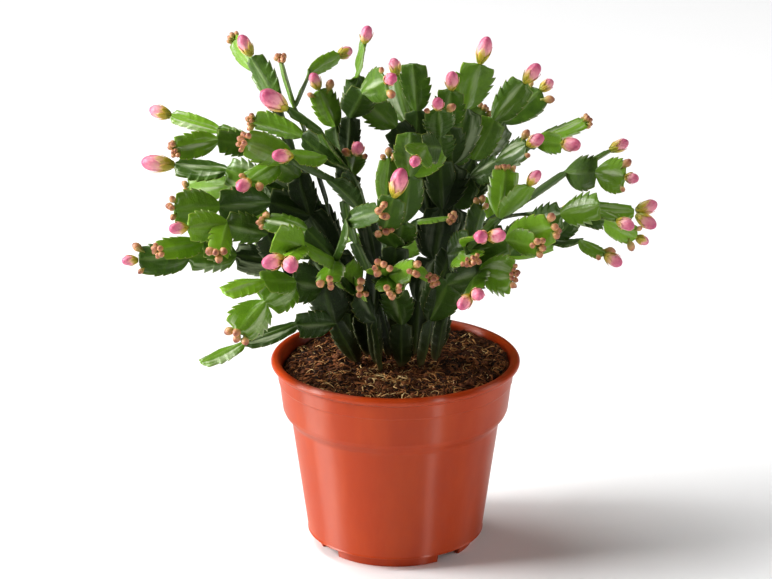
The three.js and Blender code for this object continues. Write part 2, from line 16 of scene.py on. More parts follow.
import bpy
import numpy as np
from mathutils import Euler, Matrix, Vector


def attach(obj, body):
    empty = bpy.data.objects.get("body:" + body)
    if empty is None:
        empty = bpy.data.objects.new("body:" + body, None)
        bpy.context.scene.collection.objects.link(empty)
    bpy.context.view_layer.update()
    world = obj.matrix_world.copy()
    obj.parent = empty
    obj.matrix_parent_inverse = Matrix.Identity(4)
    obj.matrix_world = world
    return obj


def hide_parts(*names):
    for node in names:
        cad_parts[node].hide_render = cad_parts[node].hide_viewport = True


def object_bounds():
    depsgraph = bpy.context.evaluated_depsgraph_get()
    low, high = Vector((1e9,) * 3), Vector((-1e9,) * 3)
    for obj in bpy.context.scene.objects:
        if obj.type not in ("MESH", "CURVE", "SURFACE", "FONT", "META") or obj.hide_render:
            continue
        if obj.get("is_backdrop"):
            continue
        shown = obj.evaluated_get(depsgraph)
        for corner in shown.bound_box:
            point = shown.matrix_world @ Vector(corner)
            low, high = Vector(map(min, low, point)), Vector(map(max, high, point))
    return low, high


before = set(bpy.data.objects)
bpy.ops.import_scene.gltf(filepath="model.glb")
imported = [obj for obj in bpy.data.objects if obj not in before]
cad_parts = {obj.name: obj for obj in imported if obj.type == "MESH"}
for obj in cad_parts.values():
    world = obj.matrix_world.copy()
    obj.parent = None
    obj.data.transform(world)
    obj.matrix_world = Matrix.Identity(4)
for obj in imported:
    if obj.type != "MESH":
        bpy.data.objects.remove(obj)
cad_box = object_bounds()

MM = 0.001
BODY = "root"
log = logging.getLogger("cactus")

Array = np.ndarray
Material = bpy.types.Material
Pair = tuple[float, float]
Triple = tuple[float, float, float]


# Numbers and vectors.


def draw(number: float) -> float:
    """A repeatable draw between -1 and 1 for a number: the fraction of a large multiple of its sine."""
    wave = math.sin(number * 12.9898 + 4.1) * 43758.5453
    return 2 * (wave - math.floor(wave)) - 1


def unit(vectors: Array) -> Array:
    """The vectors, each divided by its length."""
    return vectors / np.linalg.norm(vectors, axis=-1, keepdims=True)


def blend(one: Array, other: Array, share: Array | float) -> Array:
    """The mean of two arrays, weighted by a share of the second."""
    return one + (other - one) * share


def turned_about(vector: Array, axis: Array, angle: float) -> Array:
    """A vector turned about a unit axis: v cos a + (axis x v) sin a + axis (axis . v) (1 - cos a)."""
    cosine, sine = math.cos(angle), math.sin(angle)
    return vector * cosine + np.cross(axis, vector) * sine + axis * (axis @ vector) * (1 - cosine)


def draw_share(number: float) -> float:
    """A repeatable draw between 0 and 1 for a number."""
    return 0.5 + 0.5 * draw(number)


def hill(distance: Array | float, width: float) -> Array | float:
    """1 at no distance, and falling smoothly towards 0 past a width."""
    return np.exp(-((distance / width) ** 2))


def full_turn(count: int) -> Array:
    """Evenly spaced angles about a full turn."""
    return np.arange(count) * 2 * np.pi / count


def circle(across: Array, out: Array, angle: Array) -> Array:
    """The directions at angles about an axis, from two that are square to it and to each other."""
    return across * np.cos(angle)[..., None] + out * np.sin(angle)[..., None]


# Meshes.


@dataclass
class TubeMesh:
    """Gathers closed tubes into one mesh.

    A tube is a grid of points. Its rows run along it, and its columns run round it, anticlockwise when its
    far end is seen from outside. Each end is closed by a fan about the mean of its last ring.
    """

    points: list[Array] = field(default_factory=list)
    corners: list[Array] = field(default_factory=list)
    sizes: list[Array] = field(default_factory=list)
    values: dict[str, list[Array]] = field(default_factory=dict)
    count: int = 0

    def add(self, rings: Array, **values: Array | float) -> None:
        """Adds tubes of one grid size.

        Args:
            rings: Points, as (tubes, rows, columns, 3), or without the first axis for one tube.
            values: Numbers kept with the points, each of a shape that broadcasts to (tubes, rows, columns).
        """
        rings = rings.reshape(-1, *rings.shape[-3:])
        tubes, rows, columns = rings.shape[:3]
        self.points.append(self._closed(rings).reshape(-1, 3))
        column = np.arange(columns)
        after = (column + 1) % columns
        low = (np.arange(rows - 1) * columns)[:, None]
        quads = np.stack([low + column, low + after, low + columns + after, low + columns + column], -1)
        near, far = np.full(columns, rows * columns), np.full(columns, rows * columns + 1)
        last = (rows - 1) * columns
        fans = np.stack([[near, after, column], [far, last + column, last + after]]).transpose(0, 2, 1)
        shift = self.count + (rows * columns + 2) * np.arange(tubes)[:, None]
        for faces, corners in ((quads.reshape(-1), 4), (fans.reshape(-1), 3)):
            self.corners.append((shift + faces).reshape(-1))
            self.sizes.append(np.full(self.corners[-1].size // corners, corners))
        for name, value in values.items():
            grid = np.broadcast_to(value, (tubes, rows, columns))[..., None]
            self.values.setdefault(name, []).append(self._closed(grid).reshape(-1))
        self.count += (rows * columns + 2) * tubes

    @staticmethod
    def _closed(grid: Array) -> Array:
        """Each tube's grid as a row of points, followed by the means of its first and last rings."""
        ends = grid[:, [0, -1]].mean(axis=2)
        return np.concatenate([grid.reshape(len(grid), -1, grid.shape[-1]), ends], axis=1)

    def piece(self, name: str, look: Material, slot: str, replaced: Iterable[str] = ()) -> None:
        """Makes the mesh an object that rides on the plant's one body and stands for solids."""
        mesh = bpy.data.meshes.new(name)
        corners, sizes = np.concatenate(self.corners), np.concatenate(self.sizes)
        mesh.vertices.add(self.count)
        mesh.vertices.foreach_set("co", (np.concatenate(self.points) * MM).astype(np.float32).ravel())
        mesh.loops.add(len(corners))
        mesh.loops.foreach_set("vertex_index", corners.astype(np.int32))
        mesh.polygons.add(len(sizes))
        mesh.polygons.foreach_set("loop_start", (np.cumsum(sizes) - sizes).astype(np.int32))
        mesh.polygons.foreach_set("use_smooth", np.ones(len(sizes), dtype=bool))
        mesh.update(calc_edges=True)
        for label, value in self.values.items():
            attribute = mesh.attributes.new(label, "FLOAT", "POINT")
            attribute.data.foreach_set("value", np.concatenate(value).astype(np.float32))
        mesh.materials.append(look)
        made = bpy.data.objects.new(name, mesh)
        bpy.context.scene.collection.objects.link(made)
        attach(made, BODY)
        nodes = list(replaced)
        if nodes:
            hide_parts(*nodes)
        log.info("%s: %d faces, stands for %s", name, len(sizes), ", ".join(nodes) or "no solid")


# Shaders.


def math_method(operation: str, turned_round: bool = False) -> Callable[[Socket, Socket | float], Socket]:
    """A method that adds a Math node of a socket and an operand, or of the two turned round."""

    def apply(socket: Socket, operand: Socket | float) -> Socket:
        """The Math node's result."""
        operands = (operand, socket) if turned_round else (socket, operand)
        return socket.shader.node("Math", {"operation": operation}, dict(enumerate(operands)))

    return apply


class Socket:
    """A shader socket. An expression on it adds Math nodes."""

    def __init__(self, shader: Shader, link: bpy.types.NodeSocket) -> None:
        """Wraps an output of a node."""
        self.shader = shader
        self.link = link

    __add__ = __radd__ = math_method("ADD")
    __mul__ = __rmul__ = math_method("MULTIPLY")
    __sub__ = math_method("SUBTRACT")
    __rsub__ = math_method("SUBTRACT", turned_round=True)

    def between(self, low: float, high: float) -> Socket:
        """0 up to the low value, 1 from the high value on, and smooth between them."""
        settings = {"interpolation_type": "SMOOTHSTEP"}
        return self.shader.node("MapRange", settings, {"Value": self, "From Min": low, "From Max": high})


Value = Socket | float | tuple[float, ...]


def colour(code: str) -> tuple[float, ...]:
    """The linear colour of a screen colour's six-digit code."""
    parts = [int(code[place:place + 2], 16) / 255 for place in (0, 2, 4)]
    return (*(part / 12.92 if part <= 0.04045 else ((part + 0.055) / 1.055) ** 2.4 for part in parts), 1.0)


class Shader:
    """A material under construction, with one Principled surface."""

    def __init__(self, name: str) -> None:
        """Starts an empty material."""
        self.material = bpy.data.materials.new(name)
        self.material.use_nodes = True
        self.tree = self.material.node_tree
        self.tree.nodes.clear()

    def node(
        self,
        kind: str,
        settings: dict[str, object] | None = None,
        inputs: dict[str | int, Value] | None = None,
        output: str | int = 0,
    ) -> Socket:
        """Adds a node.

        Args:
            kind: The node's type, without its ShaderNode prefix.
            settings: Its own settings, and under stops a colour ramp's places and colours.
            inputs: Values or sockets for its inputs, by name or number.
            output: The output wanted, by name or number.

        Returns:
            The wanted output.
        """
        made = self.tree.nodes.new("ShaderNode" + kind)
        for name, value in (settings or {}).items():
            if name == "stops":
                self._set_stops(made.color_ramp, value)
            else:
                setattr(made, name, value)
        for name, value in (inputs or {}).items():
            if isinstance(value, Socket):
                self.tree.links.new(value.link, made.inputs[name])
            else:
                made.inputs[name].default_value = value
        return Socket(self, made.outputs[output])

    @staticmethod
    def _set_stops(ramp: bpy.types.ColorRamp, stops: list[tuple[float, tuple[float, ...]]]) -> None:
        """Gives a ramp its places and colours."""
        while len(ramp.elements) < len(stops):
            ramp.elements.new(0.5)
        for element, (place, shade) in zip(ramp.elements, stops):
            element.position = place
            element.color = shade

    def places(self, stretch: Triple = (1, 1, 1)) -> Socket:
        """Object coordinates, stretched along the axes."""
        plain = self.node("TexCoord", output="Object")
        return self.node("Mapping", {}, {"Vector": plain, "Scale": stretch})

    def attribute(self, name: str) -> Socket:
        """A number kept with the mesh's points."""
        return self.node("Attribute", {"attribute_name": name}, output="Fac")

    def noise(self, grain: float, places: Socket, detail: float = 3.0, rough: float = 0.5) -> Socket:
        """Noise whose patches are about a grain, in millimetres, across."""
        inputs = {"Vector": places, "Scale": 1 / (grain * MM), "Detail": detail, "Roughness": rough}
        return self.node("TexNoise", {}, inputs)

    def mix(self, share: Socket | float, one: Value, other: Value) -> Socket:
        """Two colours mixed by a share of the second."""
        return self.node("Mix", {"data_type": "RGBA"}, {0: share, 6: one, 7: other}, 2)

    def ramp(self, place: Socket, *stops: tuple[float, str]) -> Socket:
        """A colour ramp of places and colour codes."""
        return self.node("ValToRGB", {"stops": [(at, colour(code)) for at, code in stops]}, {"Fac": place})

    def bump(self, height: Socket, depth: float, strength: float = 1.0) -> Socket:
        """A normal from a height between 0 and 1 that stands for a depth in millimetres."""
        return self.node("Bump", {}, {"Height": height, "Distance": depth * MM, "Strength": strength})

    def finish(self, **inputs: Value) -> Material:
        """Closes the material with a Principled surface whose inputs are given by their names."""
        named = {name.replace("_", " "): value for name, value in inputs.items()}
        surface = self.node("BsdfPrincipled", {}, named)
        closing = self.tree.nodes.new("ShaderNodeOutputMaterial")
        self.tree.links.new(surface.link, closing.inputs["Surface"])
        return self.material


@dataclass(frozen=True)
class PotPlastic:
    """Moulded terracotta-coloured plastic, satin, with faint flow marks and a little dust."""

    body: str = "a33b13"
    pale: str = "ad451b"
    dust: str = "9c5c36"
    dust_share: float = 0.35
    roughness: float = 0.33
    flow_roughness: float = 0.04
    speck_roughness: float = 0.06
    flow_grain: float = 14.0
    flow_stretch: Triple = (1, 1, 0.25)
    speck_grain: float = 0.9
    relief: float = 0.05
    # The grain round the pot draws the lights' reflections out into upright bands.
    grain: float = 1.0
    grain_turn: float = 0.25

    def material(self) -> Material:
        """The finish as a material."""
        shader = Shader("pot_plastic")
        flow = shader.noise(self.flow_grain, shader.places(self.flow_stretch), 4, 0.6)
        speck = shader.noise(self.speck_grain, shader.places(), 2)
        body = shader.mix(flow.between(0.3, 0.75), colour(self.body), colour(self.pale))
        dusty = shader.mix(speck.between(0.64, 0.8) * self.dust_share, body, colour(self.dust))
        rough = self.roughness + self.flow_roughness * flow + self.speck_roughness * speck.between(0.55, 0.8)
        return shader.finish(
            Base_Color=dusty,
            Roughness=rough,
            Normal=shader.bump(flow + 0.2 * speck, self.relief),
            Specular_IOR_Level=0.5,
            Anisotropic=self.grain,
            Anisotropic_Rotation=self.grain_turn,
        )


@dataclass(frozen=True)
class SoilCrumb:
    """Dark, moist potting soil with lighter fibres worked into it."""

    roughness: float = 0.95
    clod_grain: float = 5.0
    crumb_grain: float = 1.1
    relief: float = 1.6

    def material(self) -> Material:
        """The finish as a material."""
        shader = Shader("soil_crumb")
        clods = shader.noise(self.clod_grain, shader.places(), 5, 0.65)
        crumbs = shader.noise(self.crumb_grain, shader.places(), 4, 0.7)
        tone = 0.5 * clods + 0.5 * crumbs
        shade = shader.ramp(
            tone, (0.36, "120905"), (0.45, "3e2315"), (0.53, "74482c"), (0.61, "a57448"), (0.7, "d6ae7a"))
        return shader.finish(
            Base_Color=shade,
            Roughness=self.roughness,
            Normal=shader.bump(tone, self.relief),
            Specular_IOR_Level=0.25,
        )


@dataclass(frozen=True)
class CoirFibre:
    """Dry coir and bark threads, from dark brown to straw."""

    roughness: float = 0.8
    mottle: float = 0.25
    mottle_grain: float = 1.5

    def material(self) -> Material:
        """The finish as a material."""
        shader = Shader("coir_fibre")
        mottle = shader.noise(self.mottle_grain, shader.places())
        tone = shader.attribute("tone") + self.mottle * (mottle - 0.5)
        shade = shader.ramp(
            tone, (0.0, "1f1009"), (0.3, "57321c"), (0.6, "925b35"), (0.85, "c08d58"), (1.0, "e6c892"))
        return shader.finish(Base_Color=shade, Roughness=self.roughness, Specular_IOR_Level=0.3)


@dataclass(frozen=True)
class BladeSkin:
    """The waxy skin of a stem segment: lighter along its rib and rim, darker with age and with painted shade
    near the plant's middle, and with painted silver glare in streaks, most on blades that face the light.
    """

    old_and_shaded: str = "1d2d0a"
    grown: str = "3f5c17"
    young: str = "7ba524"
    rib: str = "7d9a45"
    rim: str = "98943f"
    painted_silver_glare: str = "c2ccab"
    bark: str = "6d5c38"
    blotch_grain: float = 7.0
    lump_grain: float = 2.2
    speck_grain: float = 0.8
    relief: float = 0.6
    # How close the streaks of painted silver glare, and of the coat's gloss, lie across a blade and along it.
    streak_stretch: Pair = (2.2, 0.9)
    # How strong a colour, the painted silver glare or the gloss is at the least, and how much youth less
    # painted shade, or for the painted glare how far a blade faces the light, adds to it.
    rib_share: Pair = (0.12, 0.33)
    rim_share: Pair = (0.2, 0.4)
    painted_glare_share: Pair = (0.16, 0.7)
    gloss_share: Pair = (0.2, 0.8)
    mottle: float = 0.35
    speck_share: float = 0.12
    roughness: float = 0.38
    blotch_roughness: float = 0.25

    def material(self) -> Material:
        """The finish as a material."""
        shader = Shader("blade_skin")
        places = shader.places()
        # The youth attribute is a blade's youth less the painted shade near the plant's middle, so shaded
        # blades come out darker.
        youth, margin = shader.attribute("youth"), shader.attribute("margin")
        blotch = shader.noise(self.blotch_grain, places, 4, 0.6)
        speck = shader.noise(self.speck_grain, places, 2)
        crosswise, lengthwise = self.streak_stretch
        own = shader.node("CombineXYZ", {}, {
            "X": shader.attribute("across") * crosswise,
            "Y": shader.attribute("run") * lengthwise,
            "Z": shader.attribute("seed"),
        })
        streak = shader.node("TexNoise", {}, {"Vector": own, "Scale": 1.0, "Detail": 3.0, "Roughness": 0.55})
        rib, rim, painted_silver_glare, gloss = (
            least + more * strength for (least, more), strength in (
                (self.rib_share, youth), (self.rim_share, youth),
                (self.painted_glare_share, shader.attribute("bloom")), (self.gloss_share, youth)))
        tone = youth + self.mottle * (blotch - 0.5)
        # The darkest colour stands for old blades and for painted shade.
        green = shader.ramp(tone, (0.0, self.old_and_shaded), (0.5, self.grown), (1.0, self.young))
        ribbed = shader.mix((1 - margin.between(0.02, 0.2)) * rib, green, colour(self.rib))
        rimmed = shader.mix(margin.between(0.93, 1.0) * rim, ribbed, colour(self.rim))
        # Painted highlight: pale silver colour in streaks stands in for glare, stronger where a blade faces
        # the light.
        with_painted_glare = shader.mix(streak.between(0.48, 0.68) * painted_silver_glare, rimmed, colour(self.painted_silver_glare))
        speckled = shader.mix(speck.between(0.6, 0.75) * self.speck_share, with_painted_glare, colour(self.young))
        barked = shader.mix(shader.attribute("bark") * blotch.between(0.2, 0.6), speckled, colour(self.bark))
        height = 0.55 * blotch + 0.3 * speck + 0.15 * shader.noise(self.lump_grain, places)
        return shader.finish(
            Base_Color=barked,
            Roughness=self.roughness + self.blotch_roughness * blotch,
            Normal=shader.bump(height, self.relief),
            Coat_Weight=streak.between(0.46, 0.62) * gloss,
            Coat_Roughness=0.26,
            Specular_IOR_Level=0.3,
        )


@dataclass(frozen=True)
class BristleHair:
    """Pale, dry wool and bristle."""

    pale: str = "d9d3b8"
    tan: str = "a8946a"
    roughness: float = 0.7
    grain: float = 3.0

    def material(self) -> Material:
        """The finish as a material."""
        shader = Shader("bristle_hair")
        shade = shader.mix(
            shader.noise(self.grain, shader.places(), 2), colour(self.tan), colour(self.pale))
        return shader.finish(Base_Color=shade, Roughness=self.roughness, Specular_IOR_Level=0.3)


@dataclass(frozen=True)
class BudSkin:
    """Petal skin, from a yellow-green base through cream and pink to a deeper tip, with fine streaks."""

    name: str
    stops: tuple[tuple[float, str], ...]
    streak: str
    streak_share: float = 0.45
    roughness: float = 0.42
    mottle: float = 0.45
    mottle_grain: float = 2.5
    tone_share: float = 0.16
    speck_grain: float = 0.35
    relief: float = 0.05
    coat: float = 0.2
    # How far light travels under the skin, in millimetres of red, green and blue.
    glow_share: float = 0.12
    glow: Triple = (1.2, 0.5, 0.4)

    def material(self) -> Material:
        """The finish as a material."""
        shader = Shader(self.name)
        places = shader.places()
        blotch = shader.noise(self.mottle_grain, places, 3)
        speck = shader.noise(self.speck_grain, places, 2)
        rise, own = shader.attribute("rise"), shader.attribute("tone")
        tone = rise + self.mottle * (blotch - 0.5) + self.tone_share * (own - 0.5)
        skin = shader.ramp(tone, *self.stops)
        streaks = shader.attribute("streak").between(0.5, 1.0) * rise.between(0.3, 0.7)
        return shader.finish(
            Base_Color=shader.mix(streaks * self.streak_share, skin, colour(self.streak)),
            Roughness=self.roughness + 0.1 * speck,
            Normal=shader.bump(speck, self.relief),
            Coat_Weight=self.coat,
            Coat_Roughness=0.3,
            Subsurface_Weight=self.glow_share,
            Subsurface_Radius=tuple(reach * MM for reach in self.glow),
            Subsurface_Scale=1.0,
        )


FLOWER_SKIN = BudSkin(
    "flower_bud_skin",
    ((0.0, "8f9426"), (0.24, "c0a838"), (0.4, "e2b88c"), (0.55, "e9a3a8"), (0.78, "d97f94"), (1.0, "bd5579")),
    "b03c68",
)
SMALL_SKIN = BudSkin(
    "small_bud_skin",
    ((0.0, "7f8a2e"), (0.25, "ae9650"), (0.5, "c69c6c"), (0.75, "b8805c"), (1.0, "834a38")),
    "6d3a2a",
)


# How the stems grow.


class Facing(Enum):
    """Which way a blade's flat side looks, as a direction."""

    FRONT = (0.0, -1.0, 0.3)
    UP = (0.0, -0.25, 1.0)
    EDGE_ON = (1.0, 0.1, 0.1)


FACINGS = {"f": Facing.FRONT, "u": Facing.UP, "e": Facing.EDGE_ON}


class Tip(Enum):
    """What a shoot carries at its tip."""

    BARE = "none"
    SMALL_BUDS = "cluster"
    BUD = "bud"
    BIG_BUD = "big"
    BUD_AND_SMALL = "both"
    TWO_BUDS = "pair"


# The length and the radius of the flower bud that a tip carries.
BUD_SIZES = {
    Tip.BIG_BUD: (16.5, 4.0),
    Tip.BUD: (11.5, 3.1),
    Tip.BUD_AND_SMALL: (9.4, 2.8),
    Tip.TWO_BUDS: (12.2, 3.4),
}

ShootRow = tuple[str, str, float, Triple, float, str, str]

# Each stem's foot in the soil, and its shoots. A shoot is its key, its start (the soil, or an earlier
# shoot's joint), its rise, its tip, its blades' width, the ways that they face, and what its tip carries.
STEMS: dict[str, tuple[Pair, tuple[ShootRow, ...]]] = {
    "front": ((3, -10), (
        ("a", "soil", 50, (-7, -68, 174), 18, "fffu", "cluster"),
        ("b", "a3", 5, (-2, -76, 165), 16, "f", "cluster"),
        ("c", "a2", 20, (18, -66, 167), 16, "uf", "cluster"),
        ("d", "a2", 35, (4, -44, 190), 17, "f", "none"),
        ("e", "d1", 8, (-6, -56, 189), 15, "uf", "cluster"),
        ("f", "d2", 10, (7, -46, 237), 17, "f", "none"),
        ("g", "f1", 8, (22, -58, 234), 15, "f", "none"),
        ("h", "g2", 6, (10, -70, 230), 17, "f", "bud"),
        ("i", "d1", 8, (27, -58, 197), 16, "u", "cluster"),
        ("j", "e1", 24, (-1, -54, 206), 16, "f", "big"),
        ("k", "a3", 5, (8, -72, 174), 14, "uf", "cluster"),
    )),
    "front_left": ((-8, -16), (
        ("a", "soil", 55, (-46, -60, 182), 20, "f", "none"),
        ("b", "a4", 0, (-60, -70, 190), 19, "f", "none"),
        ("c", "a4", 0, (-53, -72, 180), 12, "uf", "pair"),
        ("d", "a3", 20, (-66, -56, 195), 16, "u", "cluster"),
        ("e", "a2", 5, (-26, -60, 172), 17, "f", "none"),
        ("f", "a2", 0, (-17, -66, 162), 15, "f", "cluster"),
        ("g", "a3", 24, (-8, -58, 200), 12, "ue", "cluster"),
        ("h", "a3", 0, (-34, -68, 166), 15, "uf", "cluster"),
    )),
    "front_right": ((13, -12), (
        ("a", "soil", 45, (66, -34, 206), 18, "f", "bud"),
        ("b", "a1", 30, (58, -56, 165), 22, "f", "cluster"),
        ("c", "a2", 22, (43, -76, 192), 17, "fu", "pair"),
        ("d", "c1", 5, (37, -72, 179), 19, "f", "cluster"),
        ("e", "a3", 6, (78, -50, 189), 20, "f", "cluster"),
        ("f", "e1", 0, (70, -56, 181), 16, "f", "cluster"),
        ("g", "a3", 5, (44, -34, 196), 16, "f", "cluster"),
        ("h", "a4", 5, (56, -18, 210), 17, "f", "cluster"),
        ("i", "b2", 0, (38, -64, 159), 16, "uf", "pair"),
    )),
    "low_left": ((-20, -5), (
        ("a", "soil", 45, (-98, -54, 118), 15, "fu", "none"),
        ("b", "a1", 52, (-79, -62, 138), 22, "f", "cluster"),
        ("c", "b2", 6, (-85, -50, 154), 15, "f", "none"),
    )),
    "crown": ((10, 7), (
        ("a", "soil", 25, (43, 18, 255), 22, "f", "big"),
        ("b", "a2", 35, (1, 30, 247), 19, "f", "both"),
        ("c", "b2", 20, (9, 40, 248), 17, "f", "none"),
        ("d", "a3", 25, (21, -4, 235), 17, "f", "both"),
        ("e", "b2", 12, (-14, 34, 227), 17, "f", "none"),
        ("f", "a4", 8, (46, 34, 227), 17, "f", "cluster"),
        ("g", "a4", 10, (28, 10, 242), 17, "f", "bud"),
    )),
    "upright": ((-3, 4), (
        ("a", "soil", 15, (-26, 6, 186), 13, "fe", "none"),
        ("b", "a4", 40, (-39, 8, 244), 15, "eff", "both"),
        ("c", "a4", 50, (-16, 4, 268), 12, "fffe", "bud"),
        ("d", "a4", 5, (-20, -14, 216), 12, "f", "both"),
        ("e", "c2", 12, (-5, -30, 258), 18, "f", "both"),
    )),
    "top_left": ((-9, -7), (
        ("a", "soil", 115, (-54, -26, 242), 12, "ffee", "big"),
        ("b", "a4", 8, (-72, -44, 244), 20, "f", "cluster"),
        ("c", "a4", 8, (-51, -47, 225), 15, "u", "bud"),
        ("d", "a3", 20, (-75, -34, 228), 17, "fu", "cluster"),
    )),
    "right": ((21, -2), (
        ("a", "soil", 48, (81, -12, 169), 11, "feee", "none"),
        ("b", "a4", 28, (125, 12, 164), 13, "uf", "both"),
        ("c", "b1", 10, (112, -14, 181), 12, "u", "bud"),
        ("d", "a3", 20, (103, -20, 191), 18, "f", "none"),
        ("e", "a4", 8, (106, -24, 166), 13, "u", "both"),
    )),
    "upper_right": ((21, 13), (
        ("a", "soil", 110, (76, 28, 240), 19, "f", "both"),
        ("b", "a4", 15, (66, 30, 241), 17, "f", "bud"),
        ("c", "a3", 12, (67, 14, 212), 18, "f", "both"),
        ("d", "a3", 12, (100, 32, 222), 14, "ueu", "cluster"),
        ("e", "d2", 8, (86, 8, 216), 12, "e", "big"),
    )),
    "left": ((-13, 4), (
        ("a", "soil", 65, (-131, -32, 166), 18, "fuff", "both"),
        ("b", "a4", 10, (-119, -42, 174), 15, "u", "cluster"),
        ("c", "a3", 30, (-104, -44, 187), 17, "f", "bud"),
        ("d", "c2", 4, (-88, -42, 173), 15, "u", "cluster"),
    )),
    "upper_left": ((-22, 12), (
        ("a", "soil", 96, (-115, 2, 207), 19, "fffu", "big"),
        ("b", "a3", 10, (-112, -26, 191), 20, "f", "cluster"),
        ("c", "a4", 8, (-110, 29, 185), 16, "f", "cluster"),
        ("d", "a3", 38, (-117, 38, 222), 9, "f", "bud"),
        ("e", "d2", 8, (-113, 2, 215), 15, "f", "cluster"),
        ("f", "a3", 45, (-73, -36, 209), 15, "fu", "both"),
    )),
    "far_left": ((-12, 17), (
        ("a", "soil", 15, (-75, 45, 252), 15, "ffef", "bud"),
        ("b", "a5", 5, (-86, 64, 258), 11, "e", "cluster"),
        ("c", "a2", 10, (-59, 30, 253), 10, "e", "cluster"),
        ("d", "c3", 20, (-30, 50, 251), 9, "e", "bud"),
    )),
    "far_right": ((5, 20), (
        ("a", "soil", 50, (114, 30, 207), 10, "fuee", "bud"),
        ("b", "a5", 3, (119, 17, 195), 20, "f", "both"),
        ("c", "a3", 12, (126, 6, 180), 12, "uf", "pair"),
    )),
    "back_left": ((-22, 27), (
        ("a", "soil", 35, (-85, 66, 168), 16, "fu", "bud"),
        ("b", "a2", 14, (-82, 56, 142), 15, "u", "cluster"),
        ("c", "a2", 22, (-56, 62, 184), 16, "uf", "both"),
    )),
    "back": ((-4, 30), (
        ("a", "soil", 25, (1, 74, 154), 16, "fu", "bud"),
        ("b", "a2", 10, (-40, 76, 144), 16, "u", "cluster"),
        ("c", "a2", 10, (34, 76, 148), 16, "u", "both"),
        ("d", "a1", 40, (-3, 58, 193), 14, "f", "cluster"),
    )),
    "back_right": ((16, 29), (
        ("a", "soil", 35, (88, 66, 159), 16, "fu", "bud"),
        ("b", "a2", 10, (76, 75, 138), 16, "u", "none"),
        ("c", "a1", 20, (48, 52, 132), 16, "u", "both"),
        ("d", "a2", 20, (59, 60, 178), 16, "uf", "both"),
    )),
}


@dataclass
class Blade:
    """One flat stem segment: its ends, the directions along, across and out of it, its width and seed."""

    start: Array
    end: Array
    along: Array
    across: Array
    out: Array
    width: float
    seed: int

    @property
    def length(self) -> float:
        """Its length."""
        return float(np.linalg.norm(self.end - self.start))


@dataclass
class Boxes:
    """Oblong boxes: their centres, axes as rows, half sizes, whether each holds a bud, and their stems."""

    centres: Array
    axes: Array
    halves: Array
    buds: Array
    stems: Array

    # The squared length below which a cross product of two axes counts as no direction.
    parallel = 1e-6

    @property
    def reach(self) -> Array:
        """The distance from each centre to its corners."""
        return np.linalg.norm(self.halves, axis=1)

    @classmethod
    def of(cls, rows: list[tuple[Array, Blade, Iterable[float], bool]], stem: int) -> Boxes:
        """Boxes from rows of a centre, the blade whose directions they take, half sizes and whether a bud."""
        return cls(
            np.array([centre for centre, *_ in rows]),
            np.array([[blade.along, blade.across, blade.out] for _, blade, *_ in rows]),
            np.array([list(halves) for _, _, halves, _ in rows], dtype=float),
            np.array([bud for *_, bud in rows]),
            np.full(len(rows), stem),
        )

    def joined(self, other: Boxes) -> Boxes:
        """These boxes and the other ones."""
        return Boxes(*(np.concatenate(pair) for pair in zip(vars(self).values(), vars(other).values())))

    def at(self, places: Array) -> Boxes:
        """The boxes at these places in the row."""
        return Boxes(*(value[places] for value in vars(self).values()))

    def meet(self, other: Boxes) -> Array:
        """Which of these boxes share space with which of the others.

        Two boxes lie apart if, along one of their own axes or a cross product of two of them, the distance
        between their centres is at least the sum of their extents.

        Returns:
            A table of truths, one row for each of these boxes.
        """
        between = other.centres[None] - self.centres[:, None]
        near = np.linalg.norm(between, axis=2) <= self.reach[:, None] + other.reach[None]
        row, column = np.nonzero(near)
        mine, others = self.axes[row], other.axes[column]
        crosses = np.cross(mine[:, :, None], others[:, None]).reshape(len(row), 9, 3)
        ways = np.concatenate([mine, others, crosses], axis=1)
        reach = sum(
            np.einsum("pi,pid->pd", halves, np.abs(np.einsum("pik,pdk->pid", axes, ways)))
            for axes, halves in ((mine, self.halves[row]), (others, other.halves[column])))
        overlaps = np.abs(np.einsum("pk,pdk->pd", between[row, column], ways)) < reach
        no_way = (ways**2).sum(axis=2) <= self.parallel
        near[row, column] = (overlaps | no_way).all(axis=1)
        return near


@dataclass
class BudSize:
    """A flower bud's length, radius and whether two stand side by side."""

    length: float
    radius: float
    pair: bool


@dataclass
class Shoot:
    """A chain of blades from its start to its tip."""

    key: str
    start: str
    rise: float
    tip: Array
    width: float
    faces: str
    carries: Tip
    seed: int
    joints: Array | None = None
    blades: list[Blade] = field(default_factory=list)
    places: Array | None = None

    @property
    def bud(self) -> BudSize | None:
        """The flower bud that the tip calls for."""
        if self.carries not in BUD_SIZES:
            return None
        scale = 1 + Growth.bud_vary / 2 * draw(self.seed + 3)
        length, radius = BUD_SIZES[self.carries]
        return BudSize(length * scale, radius * scale, self.carries is Tip.TWO_BUDS)


